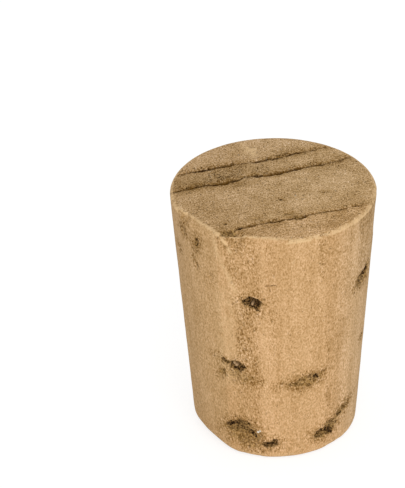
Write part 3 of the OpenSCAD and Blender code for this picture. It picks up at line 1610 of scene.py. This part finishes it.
@dataclass(frozen=True)
class OpenCork:
    """The effect that darkens pores and cracks, pales crumbs, and pales edges with worn cork and a painted
    highlight.

    Attributes:
        crumbs: Texture of the crumbled cork.
        wear: Texture that breaks up the pale places: worn cork with a painted highlight.
        pale_highlight_fade: Values of that texture where the pale starts and is complete.
        pale_highlight_strength: How pale the worn places and their painted highlight are.
        blotch_fade: Values of the crumbled texture that give the strongest and the faintest stain.
        blotch_shares: How strong those two are.
        light_fade: Values of the crumbled texture that give the darkest and the lightest floor.
        deep_fade: Strengths of a pore that count as shallow and as deep.
        pore_shares: How much of a pore's strength the crumbled texture leaves, at its ends.
        pore_fade: What is left of it where the floor starts to show and where it covers the cork.
        knots: Texture of the lighter places in cracks.
        knot_fade: Values of that texture that give the darkest and the lightest places.
        crack_shares: How much of a crack's strength the crumbled texture leaves, at its ends.
        crack_fade: What is left of it where the inside starts to show and where it covers the cork.
        bright_fade: Strengths of a crumb that count as dull and as bright.
        crumb_fade: Strengths where a crumb starts to show and where it covers the floor.
    """

    crumbs: Texture = (5.5, 2.0, 0.7)
    wear: Texture = (2.2, 2.0, 0.5)
    pale_highlight_fade: Fade = (0.3, 0.55)
    pale_highlight_strength: float = 0.75
    blotch_fade: Fade = (0.3, 0.65)
    blotch_shares: Pair = (0.9, 0.1)
    light_fade: Fade = (0.41, 0.6)
    deep_fade: Fade = (0.5, 0.95)
    pore_shares: Pair = (1.4, 0.5)
    pore_fade: Fade = (0.1, 0.85)
    knots: Texture = (1.0, 1.0, 0.5)
    knot_fade: Fade = (0.4, 0.6)
    crack_shares: Pair = (1.3, 0.6)
    crack_fade: Fade = (0.05, 0.9)
    bright_fade: Fade = (0.5, 1.0)
    crumb_fade: Fade = (0.0, 0.4)

    def group(self) -> bpy.types.NodeTree:
        """Builds the node group.

        Returns:
            The group.
        """
        group = Group("open_cork", "ShaderNodeTree",
                      {"Point": "Vector", "Colour": "Color"}, {"Colour": "Color"})
        point = group.given("Point")
        hollow, crack, edge, crumb, stain = (
            group.shade(mask) for mask in (Mask.HOLLOW, Mask.CRACK, Mask.EDGE, Mask.CRUMB, Mask.STAIN)
        )
        crumbs = group.clouds(point, *self.crumbs)
        # Pale places: worn cork and pale patches, with a painted highlight along the top edge and the ridges
        pale = group.product(edge, group.remap(group.clouds(point, *self.wear), *self.pale_highlight_fade))
        strength = group.product(pale, self.pale_highlight_strength)
        colour = group.mix(strength, group.given("Colour"), Tone.PALE_WEAR_AND_HIGHLIGHT.linear)
        blotch = group.remap(crumbs, *self.blotch_fade, *self.blotch_shares)
        blotch = group.product(stain, blotch, group.math("SUBTRACT", 1.0, pale))
        colour = group.mix(blotch, colour, Tone.BLOTCH.linear)
        # Floors of pores and cracks: the cork's own dark brown with painted shade of the hollow
        light = group.remap(crumbs, *self.light_fade)
        shallow = group.mix(light, Tone.SHALLOW_SHADE.linear, Tone.SHALLOW_CRUMB.linear)
        dark = group.mix(light, Tone.DEEP_SHADE.linear, Tone.DEEP_CRUMB.linear)
        floor = group.mix(group.remap(hollow, *self.deep_fade), shallow, dark)
        knots = group.remap(group.clouds(point, *self.knots), *self.knot_fade)
        inside = group.mix(knots, Tone.CRACK_SHADE.linear, Tone.CRACK_CRUMB.linear)
        covers = (
            (hollow, self.pore_shares, self.pore_fade, floor),
            (crack, self.crack_shares, self.crack_fade, inside),
        )
        for strength, shares, fade, cover in covers:
            left = group.product(strength, group.between(shares, crumbs))
            colour = group.mix(group.remap(left, *fade), colour, cover)
        bright = group.remap(crumb, *self.bright_fade)
        bright = group.mix(bright, Tone.DULL_CRUMB.linear, Tone.BRIGHT_CRUMB.linear)
        group.put("Colour", group.mix(group.remap(crumb, *self.crumb_fade), colour, bright))
        return group.tree


@dataclass(frozen=True)
class CorkFinish:
    """One of the two cut surfaces of the stopper.

    Attributes:
        name: Name of the material.
        tint: Colour that the rings' colours are multiplied by.
        stretch: How much shorter the grain is along the axis; below 1 draws it out upright.
        plain: How coarse the grain is everywhere, from 0 to 1.
        wander: How much the rings stray.
        darker_left: How much darker the left of the surface is, from 0 to 1.
        greyer_right: How much greyer the right of the surface is, from 0 to 1.
        roughness: Roughness of the surface.
        bump: Height of the finest grain in millimetres.
        specular: How much the surface shines.
    """

    name: str
    tint: Colour
    stretch: float
    plain: float
    wander: float
    darker_left: float
    greyer_right: float
    roughness: float
    bump: float
    specular: float = 0.08

    def material(self, rings: bpy.types.NodeTree, grain: bpy.types.NodeTree,
                 open_cork: bpy.types.NodeTree) -> bpy.types.Material:
        """Builds the material from the shared effects.

        Args:
            rings: Colours of the growth rings.
            grain: Cells and specks.
            open_cork: Pores, cracks and worn edges.

        Returns:
            The material.
        """
        made = bpy.data.materials.new(self.name)
        made.use_nodes = True
        graph = Graph(made.node_tree)
        shader = made.node_tree.nodes["Principled BSDF"]
        place = graph.node("ShaderNodeTexCoord").outputs["Object"]
        point = graph.node("ShaderNodeMapping", {"Vector": place, "Scale": (PER_MM,) * 3}).outputs[0]
        wires = {"Point": point, "Wander": self.wander, "Darker Left": self.darker_left, "Greyer Right": self.greyer_right}
        banded = graph.node("ShaderNodeGroup", wires, node_tree=rings)
        tinted = graph.mix(1.0, banded.outputs["Colour"], self.tint, "MULTIPLY")
        wires = {"Point": point, "Stretch": self.stretch, "Plain": self.plain,
                 "Coarse": banded.outputs["Coarse"], "Colour": tinted}
        grained = graph.node("ShaderNodeGroup", wires, node_tree=grain)
        wires = {"Point": point, "Colour": grained.outputs["Colour"]}
        opened = graph.node("ShaderNodeGroup", wires, node_tree=open_cork)
        wires = {"Strength": 1.0, "Distance": self.bump * MM, "Height": grained.outputs["Height"]}
        bump = graph.node("ShaderNodeBump", wires)
        graph.wire(shader.inputs["Base Color"], opened.outputs["Colour"])
        graph.wire(shader.inputs["Normal"], bump.outputs["Normal"])
        shader.inputs["Roughness"].default_value = self.roughness
        shader.inputs["Specular IOR Level"].default_value = self.specular
        return made


@dataclass
class CorkStopper:
    """The stopper: a turned blank that is worn, carved and dressed.

    Attributes:
        blank: The turned blank.
        ring_turn: Turn of the growth rings.
        side: Finish of the sanded side.
        end: Finish of the sawn ends.
        far_share: Size of a pore's far end as a share of its near end.
        passes: How often the mesh is looked at for edges that are too long.
        rim_pale: Distances from the corner of the top edge where its pale line starts and is complete: worn
            cork with a painted highlight.
        foot_pale: The same for the base edge.
        foot_strength: How pale the base edge is, from 0 to 1.
        flat_pale: The same distances for the pale line along a worn flat.
        level_gap: How near the top's height a point counts as part of its flat.
    """

    blank: TurnedBlank = field(default_factory=TurnedBlank)
    ring_turn: float = 20.5
    side: CorkFinish = CorkFinish(
        "sanded_cork", tint=(1.005, 0.985, 0.96, 1), stretch=0.6, plain=0.0, wander=0.6,
        darker_left=0.0, greyer_right=0.4, roughness=0.85, bump=0.06)
    end: CorkFinish = CorkFinish(
        "sawn_cork", tint=(1.01, 1.02, 1.0, 1), stretch=1.0, plain=0.55, wander=0.8,
        darker_left=0.4, greyer_right=0.0, roughness=0.9, bump=0.08)
    far_share: float = 0.75
    passes: int = 4
    rim_pale: Fade = (0.4, 0.24)
    foot_pale: Fade = (0.8, 0.3)
    foot_strength: float = 0.6
    flat_pale: Fade = (0.2, 0.05)
    level_gap: float = 0.05

    def worn_flats(self) -> list[WornFlat]:
        """Flats worn on the two edges."""
        return [WornFlat(-10, 0.7, True), WornFlat(-52, 0.6, True), WornFlat(-61, 0.95, False)]

    def fissures(self) -> list[Fissure]:
        """Cracks across the top, from the back to the front.

        Returns:
            The cracks.
        """
        # Along the ring, across the rings, and the opening
        back = (
            (-7.2, 4.98, 0.0), (-6.7, 5.0, 0.12), (-4.8, 5.02, 0.24), (-3.9, 5.04, 0.36), (-3.1, 5.0, 0.22),
            (-2.4, 4.99, 0.28), (-1.6, 4.97, 0.3), (-0.9, 4.92, 0.12), (-0.1, 4.7, 0.22), (0.6, 4.66, 0.24),
            (1.4, 4.66, 0.2), (2.9, 4.72, 0.2), (3.6, 4.8, 0.22), (4.4, 4.84, 0.25), (5.1, 4.8, 0.17),
            (6.5, 4.85, 0.1), (7.2, 4.85, 0.0),
        )
        middle = (
            (-8.4, 2.5, 0.0), (-8.1, 2.55, 0.14), (-7.4, 2.57, 0.2), (-6.6, 2.57, 0.28), (-5.8, 2.65, 0.26),
            (-5.1, 2.66, 0.3), (-4.5, 2.34, 0.32), (-3.7, 2.36, 0.34), (-2.8, 2.42, 0.36), (-2.1, 2.45, 0.2),
            (-1.5, 2.72, 0.15), (-1.0, 2.6, 0.22), (-0.6, 2.42, 0.38), (0.1, 2.3, 0.34), (0.9, 2.28, 0.44),
            (1.6, 2.2, 0.44), (2.4, 2.27, 0.28), (3.1, 2.42, 0.36), (3.9, 2.34, 0.23), (4.7, 2.43, 0.24),
            (5.4, 2.18, 0.15), (6.1, 2.3, 0.12), (6.9, 2.3, 0.15), (7.6, 2.48, 0.18), (8.2, 2.5, 0.0),
        )
        front = (
            (-5.5, -5.15, 0.0), (-5.1, -5.1, 0.17), (-4.6, -5.0, 0.2), (-4.1, -5.0, 0.22), (-3.4, -4.9, 0.22),
            (-2.6, -4.93, 0.15), (-1.9, -5.1, 0.22), (-1.1, -5.03, 0.18), (-0.3, -5.08, 0.2),
            (0.4, -5.3, 0.26), (0.9, -5.2, 0.26), (1.2, -5.05, 0.12), (1.9, -5.18, 0.16), (2.6, -5.08, 0.13),
            (3.4, -5.18, 0.14), (4.2, -5.33, 0.15), (4.9, -5.25, 0.12), (5.7, -5.3, 0.09), (6.9, -5.32, 0.0),
        )
        return [Fissure(back, 0.8, 11), Fissure(middle, 1.0, 21), Fissure(front, 0.6, 31)]

    def lenticels(self) -> list[Lenticel]:
        """Pores on the side, and the far ends of those that run right through.

        Returns:
            The pores.
        """
        # Turn and height, then length, width, depth, slope, dark, ragged and halo
        through = [
            Lenticel((-12.6, 16.5), 1.5, 1.25, 0.75, -25),
            Lenticel((-25, 9.5), 1.7, 1.25, 0.4, 2, 0.84),
            Lenticel((21.5, 8.15), 2.8, 1.3, 0.16, 7, 0.55),
            Lenticel((-22, 2.45), 3.4, 2.6, 0.22, -18, 0.48, 0.3),
            Lenticel((35.5, 1.9), 2.0, 1.1, 0.35, 2, 0.7),
            Lenticel((64.5, 16.1), 2.2, 1.5, 0.4, 8, 0.65),
        ]
        single = [
            Lenticel((-16.5, 16.45), 1.3, 0.6, 0.35, -3, 0.85),
            Lenticel((-10.8, 16.0), 0.8, 0.4, 0.35, -50),
            Lenticel((-32.5, 9.85), 1.3, 0.5, 0.2, -15, 0.75),
            Lenticel((-35.5, 8.6), 1.0, 0.7, 0.15, 60, 0.6),
            Lenticel((-23, 8.6), 2.6, 1.2, 0.06, -8, 0.42),
            Lenticel((14, 8.0), 1.5, 0.4, 0.12, 4, 0.6),
            Lenticel((27.2, 8.25), 0.7, 0.5, 0.2, 20, 0.85),
            Lenticel((31.5, 8.6), 1.0, 0.45, 0.1, 14, 0.5),
            Lenticel((-31.5, 3.15), 1.7, 0.6, 0.35, 38, 0.95),
            Lenticel((-22, 3.6), 1.6, 0.6, 0.25, -5, 0.75),
            Lenticel((-16.3, 2.5), 1.4, 0.6, 0.3, -55, 0.85),
            Lenticel((-17, 1.5), 2.0, 1.1, 0.15, -20, 0.45),
            Lenticel((-4, 1.55), 1.4, 0.65, 0.4, 5, 0.85),
            Lenticel((-1, 1.75), 0.9, 0.7, 0.3, 60, 0.7),
            Lenticel((-27, 2.95), 2.2, 1.1, 0.3, 10, 0.75, 0.25),
            Lenticel((-15.5, 2.2), 1.2, 0.9, 0.2, -40, 0.5, 0.25),
            Lenticel((33, 2.1), 1.3, 0.6, 0.3, 0, 1.0),
            Lenticel((41, 1.8), 0.85, 0.65, 0.3, 0, 1.0),
            Lenticel((41.5, 2.4), 1.9, 1.3, 0.15, 22, 0.68, 0.25),
            Lenticel((49.5, 3.12), 0.9, 0.75, 0.2, 20, 0.75, 0.2),
            Lenticel((54, 3.45), 2.2, 1.0, 0.25, 22, 0.6, 0.25),
            Lenticel((70, 16.4), 1.6, 1.3, 0.3, 20, 0.95),
            Lenticel((74, 9.6), 0.7, 0.5, 0.2, 30),
            Lenticel((-61, 21.4), 1.0, 0.9, 0.08, 30, 0.4, 0.25),
            Lenticel((-70, 19), 0.8, 0.9, 0.08, 60, 0.4, 0.25),
            Lenticel((-51, 18.9), 0.5, 1.2, 0.05, 20, 0.3, 0.2),
            Lenticel((-48.6, 21.0), 1.2, 0.75, 0.2, 70, 0.75, 0.22),
            Lenticel((-39, 18.2), 0.8, 0.5, 0.06, 60, 0.3, 0.16, 0.2),
            Lenticel((-2, 18.37), 1.25, 0.1, 0.08, 3, 0.7, 0.05, 0.0),
        ]
        far = [pore.far_end(self.ring_turn, self.far_share) for pore in through]
        return through + single + far

    def top_pits(self) -> list[TopPit]:
        """Crumbled places and dots on the top.

        Returns:
            The pits.
        """
        # Along and across the rings, then length, width, depth, slope, dark, ragged and halo
        return [
            TopPit((-5.95, -5.4), 1.6, 1.0, 0.22, -2, 0.63, 0.14, 0.3),
            TopPit((1.0, -6.4), 8.0, 1.6, 0.02, 0, 0.0, 0.3, 0.15),
            TopPit((-6.3, 2.45), 1.8, 0.5, 0.04, 0, 0.35, 0.2),
            TopPit((-2.3, 1.6), 1.3, 0.6, 0.03, 0, 0.3, 0.2),
            TopPit((0.2, -5.1), 1.3, 0.5, 0.2, -5, 0.6),
            TopPit((-3.0, -4.15), 1.2, 0.6, 0.05, 0, 0.4, 0.2, 0.5),
            TopPit((-0.4, -4.35), 1.2, 0.5, 0.05, 0, 0.4, 0.2, 0.5),
            TopPit((-2.3, -5.6), 1.4, 0.6, 0.03, 0, 0.3, 0.2, 0.4),
            TopPit((-5.76, -4.0), 0.36, 0.4, 0.15, 0, 1.0, 0.05, 0.3),
            TopPit((-0.08, -1.95), 0.3, 0.35, 0.15, 0, 0.9, 0.05, 0.3),
            TopPit((3.67, -2.2), 0.3, 0.25, 0.12, 0, 0.8, 0.05, 0.3),
        ]

    def bands(self) -> list[Carving]:
        """Coarse stretches of the side, and the painted highlights along the ridges that edge them.

        Returns:
            The stretches and lines.
        """
        # Height with the turns of both edges, then depth and strength; for a line, turn and height,
        # then width and paleness
        left = ((15.5, -22, -7), (17.4, -22.5, -8), (19, -27, -8), (23.5, -33, -8))
        right = ((-1, 38, 54), (7.5, 36, 53), (11.8, 35, 53), (16.8, 37, 55), (18.8, 30, 54), (24, 27, 52))
        return [
            GranularBand(left, 0.06, 0.4),
            GranularBand(((9, -26, -10), (16, -24, -10)), 0.06, 0.65),
            GranularBand(((-1, -26, -9), (9, -25, -9)), 0.04, 0.2),
            GranularBand(right, 0.05, 0.13),
            GranularBand(((16.5, 58, 72), (19, 56, 90), (24, 54, 92)), 0.04, 0.45),
            GranularBand(((3.5, 36.8, 38.2), (10, 34.4, 35.8), (15.5, 32.6, 34)), 0.03, 0.7),
            GranularBand(((18.8, -5, -2.5), (22.4, -5, -2)), 0.03, 0.4),
            GranularBand(((10, -2.5, 1.5), (16.5, -4, 1.5), (23.5, -5, 1)), 0.02, 0.2),
            GranularBand(((18.4, 28, 31), (22.9, 25.5, 28.5)), 0.04, 0.55),
            # Painted highlights along ridges of the side and near the top edge
            RidgeHighlight(((-34.8, 22.6), (-33.1, 20.7), (-27.4, 19.0), (-22.8, 17.4)), 0.4, 0.6),
            RidgeHighlight(((-29, 16.5), (-31, 12.0), (-31, 8.5)), 1.8, 0.4),
            RidgeHighlight(((-6.3, 22.0), (-6.3, 15.0), (-6, 5.0)), 0.35, 0.15),
            RidgeHighlight(((-31.5, 22.75), (-28.5, 22.2), (-24.8, 21.35)), 0.25, 1.1),
        ]

    def carvings(self) -> list[Carving]:
        """Everything that is carved, in the order in which it is carved.

        Returns:
            The carvings.
        """
        # A chip's columns are those of a pit; a crumb has its turn, height, size and paleness
        chips = [
            PalePatch((0.35, 6.7), 1.2, 3.0, 0, 0, 0.9, 0.3),
            PalePatch((-1.55, -4.2), 1.6, 0.5, 0, -5, 0.9, 0.15),
            RimChip((-24, 0.5), 2.2, 1.7, 0.25, 0, 0.1, 0.16, 0.5),
            RimChip((-59, 0.3), 1.2, 0.8, 0.12, 0, 0.2, 0.16, 0.2),
            RimChip((31, 0.1), 1.3, 0.7, 0.08, 0, 0.1, 0.16, 0.1),
        ]
        crumbs = [
            Crumb(-12, 2.8, 0.28), Crumb(-10.6, 2.98, 0.24), Crumb(-13.4, 16.2, 0.34, 0.3),
            Crumb(-27.2, 9.7, 0.3, 0.35), Crumb(-25.5, 9.55, 0.34, 0.4),
        ]
        return [*self.bands(), *self.fissures(), *self.lenticels(), *self.top_pits(), *chips, *crumbs]

    def finishes(self) -> tuple[bpy.types.Material, bpy.types.Material]:
        """Builds the side's and the ends' material from shared effects.

        Returns:
            The two materials.
        """
        effects = (GrowthRings(self.ring_turn, self.blank), CorkGrain(), OpenCork())
        groups = [effect.group() for effect in effects]
        return self.side.material(*groups), self.end.material(*groups)

    def build(self) -> bpy.types.Object:
        """Turns, refines, wears, carves and dresses the stopper.

        Returns:
            The finished piece.
        """
        side, end = self.finishes()
        carvings = self.carvings()
        refiner = Refiner(*self.blank.triangles(side))
        refiner.split(SizeRule(self.blank, carvings, self.ring_turn), self.passes)
        skin = Skin(self.blank, refiner.points, self.ring_turn)
        marks = Marks.clean(len(refiner.points))
        for carving in carvings:
            carving.carve(skin, marks)
        self.wear_and_highlight_edges(skin, marks)
        marks.shade[Mask.CARVE] = marks.depth
        mesh = self.plain_mesh(skin.points, refiner.corners, marks)
        relief = ReliefTree()
        values = {**relief.inputs(), "Side Finish": side, "End Finish": end}
        finished = run_tree(relief.tree(), mesh, values)
        finished.name = "cork_skin"
        bpy.data.meshes.remove(mesh)
        return scene_object("cork_skin", finished)

    def wear_and_highlight_edges(self, skin: Skin, marks: Marks) -> None:
        """Wears the flats into the skin, paints pale lines along the edges, the top one worn cork with a
        painted highlight, and marks what belongs to the ends.

        Args:
            skin: The skin, whose points are moved.
            marks: The marks, which get the edges and the ends.
        """
        everywhere = np.arange(len(skin.points))
        # Pale line along the top edge: worn cork with a painted highlight; a fainter pale line along the base
        # edge
        rim = smooth(skin.from_rim(), *self.rim_pale)
        foot = self.foot_strength * smooth(skin.from_foot(), *self.foot_pale)
        on_end = self.blank.top_r - skin.radius > self.blank.height - skin.z
        on_end |= self.blank.base_r - skin.radius > skin.z
        points = skin.points
        for flat in self.worn_flats():
            height, _ = flat.height(self.blank, skin.points)
            if flat.at_top:
                level = np.abs(skin.z - self.blank.height) < self.level_gap
                rim = np.where(height > 0, 0, rim)
                rim = np.maximum(rim, level * smooth(np.abs(height), *self.flat_pale))
            on_end &= height < 0
            points = flat.wear(self.blank, points)
        marks.darken(Mask.EDGE, everywhere, np.maximum(rim, foot))
        marks.shade[Mask.END] = on_end.astype(float)
        skin.points = points

    @staticmethod
    def plain_mesh(points: Array, corners: Array, marks: Marks) -> bpy.types.Mesh:
        """Makes a mesh with the marks as attributes.

        Args:
            points: Points in millimetres.
            corners: The three points of each triangle.
            marks: What the carvings left.

        Returns:
            The mesh in metres.
        """
        mesh = bpy.data.meshes.new("carved_start")
        mesh.from_pydata((points * MM).tolist(), [], corners.tolist())
        for mask, strength in marks.shade.items():
            kept = mesh.attributes.new(mask.value, "FLOAT", "POINT")
            kept.data.foreach_set("value", strength.astype(np.float32))
        mesh.update()
        return mesh

    def dress(self, piece: bpy.types.Object) -> None:
        """Puts the piece in the place of the plain solid.

        Args:
            piece: The finished piece.
        """
        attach(piece, BODY)
        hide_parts(NODE)


@dataclass(frozen=True)
class PhotoCamera:
    """The camera; pixels are in a frame of 405 by 488.

    Attributes:
        frame_px: Width and height of the frame.
        middle_px: Where the middle of the stopper shows.
        focal_px: Focal length.
        distance: Distance from the middle of the stopper.
        elevation: Height above the horizon, in degrees.
        roll: Roll of the picture, in degrees.
        sensor: Width of the sensor along the longer side.
        clip_share: Where the camera starts to see, as a share of its distance.
    """

    frame_px: Pair = (405, 488)
    middle_px: Pair = (274.33, 302.7)
    focal_px: float = 3407.8
    distance: float = 291.7
    elevation: float = 32.49
    roll: float = -0.5
    sensor: float = 36.0
    clip_share: float = 0.01

    def place(self, target: Vector) -> bpy.types.Object:
        """Makes the camera and aims it, so that the target shows at its pixel.

        Args:
            target: The middle of the stopper.

        Returns:
            The camera.
        """
        data = bpy.data.cameras.new("photo_camera")
        data.sensor_width = self.sensor
        data.lens = self.sensor * self.focal_px / max(self.frame_px)
        data.clip_start = self.distance * self.clip_share * MM
        right = Vector((1, 0, 0))
        back = outwards(0, self.elevation)
        level = Matrix((right, back.cross(right), back)).transposed()
        aside = [place - size / 2 for place, size in zip(self.middle_px, self.frame_px)]
        seen = Vector((aside[0], -aside[1], -self.focal_px)).normalized()
        swing = seen.rotation_difference(Vector((0, 0, -1))).to_matrix()
        turned = level @ Matrix.Rotation(math.radians(self.roll), 3, "Z") @ swing
        camera = scene_object("photo_camera", data)
        camera.matrix_world = Matrix.Translation(target + back * self.distance * MM) @ turned.to_4x4()
        return camera


@dataclass(frozen=True)
class Softbox:
    """A square soft lamp that faces the stopper.

    Attributes:
        name: Name of the lamp.
        turn: Turn about the upright axis.
        elevation: Height above the horizon, in degrees.
        strength: Light that it throws on the stopper; 1 shows a colour as written.
        size: Width.
        distance: Distance from the stopper.
    """

    name: str
    turn: float
    elevation: float
    strength: float
    size: float = 350.0
    distance: float = 500.0

    def place(self, target: Vector) -> None:
        """Makes the lamp and aims it at the target.

        Args:
            target: The middle of the stopper.
        """
        data = bpy.data.lights.new(self.name, "AREA")
        data.size = self.size * MM
        data.energy = self.strength * (math.pi * self.distance * MM) ** 2
        away = outwards(self.turn, self.elevation)
        lamp = scene_object(self.name, data)
        lamp.location = target + away * self.distance * MM
        lamp.rotation_euler = away.to_track_quat("Z", "Y").to_euler()
        lamp.visible_camera = False


@dataclass
class Studio:
    """Floor, light and camera.

    Attributes:
        target: The point that the lamps and the camera face.
        floor_size: Width of the floor in millimetres.
        ambient: Strength of the light from all around.
        glow_share: Part of the floor's look that is plain white.
        glow: Strength of that white.
    """

    target: Vector
    floor_size: float = 6000.0
    ambient: float = 0.66
    glow_share: float = 0.6
    glow: float = 1.27

    def build(self) -> None:
        """Makes the whole studio."""
        scene = bpy.context.scene
        scene.view_settings.view_transform = "Standard"
        scene.camera = PhotoCamera().place(self.target)
        self.floor()
        self.world()
        Softbox("key_softbox", turn=10, elevation=30, strength=0.36).place(self.target)

    def floor(self) -> None:
        """Lays a pale floor that is white to the camera and keeps the shadow."""
        half = self.floor_size * MM / 2
        mesh = bpy.data.meshes.new("floor")
        corners = [(-half, -half, 0), (half, -half, 0), (half, half, 0), (-half, half, 0)]
        mesh.from_pydata(corners, [], [(0, 1, 2, 3)])
        floor = scene_object("floor", mesh)
        finish = bpy.data.materials.new("pale_floor")
        finish.use_nodes = True
        graph = Graph(finish.node_tree)
        shader = finish.node_tree.nodes["Principled BSDF"]
        shader.inputs["Base Color"].default_value = Tone.FLOOR.linear
        shader.inputs["Roughness"].default_value = 1.0
        shader.inputs["Specular IOR Level"].default_value = 0.0
        glow = graph.node("ShaderNodeEmission", {"Strength": self.glow})
        share = graph.product(self.seen(graph), self.glow_share)
        mixed = graph.node("ShaderNodeMixShader", {0: share, 1: shader.outputs[0], 2: glow.outputs[0]})
        graph.wire(finish.node_tree.nodes["Material Output"].inputs["Surface"], mixed.outputs[0])
        mesh.materials.append(finish)
        floor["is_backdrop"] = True

    def world(self) -> None:
        """Sets an even light all around, white where the camera sees it."""
        world = bpy.data.worlds.new("studio")
        bpy.context.scene.world = world
        world.use_nodes = True
        graph = Graph(world.node_tree)
        background = world.node_tree.nodes["Background"]
        background.inputs["Color"].default_value = (1, 1, 1, 1)
        graph.wire(background.inputs["Strength"], graph.between((self.ambient, 1.0), self.seen(graph)))

    @staticmethod
    def seen(graph: Graph) -> Socket:
        """Tells rays that show the background: from the camera, or by gloss or glass.

        Args:
            graph: Where the nodes go.

        Returns:
            1 for such a ray, 0 for another.
        """
        path = graph.node("ShaderNodeLightPath")
        gloss = graph.math("MAXIMUM", path.outputs["Is Glossy Ray"], path.outputs["Is Transmission Ray"])
        return graph.math("MAXIMUM", path.outputs["Is Camera Ray"], gloss)


def main() -> None:
    """Builds the stopper and its studio."""
    logging.basicConfig(level=logging.INFO, format="%(name)s: %(message)s")
    stopper = CorkStopper()
    piece = stopper.build()
    stopper.dress(piece)
    log.info("%s: %d points, %d faces", piece.name, len(piece.data.vertices), len(piece.data.polygons))
    low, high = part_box(NODE)
    Studio((low + high) / 2).build()
    log.info("studio: floor, light and camera")
    low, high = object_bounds()


if __name__ == "__main__":
    main()
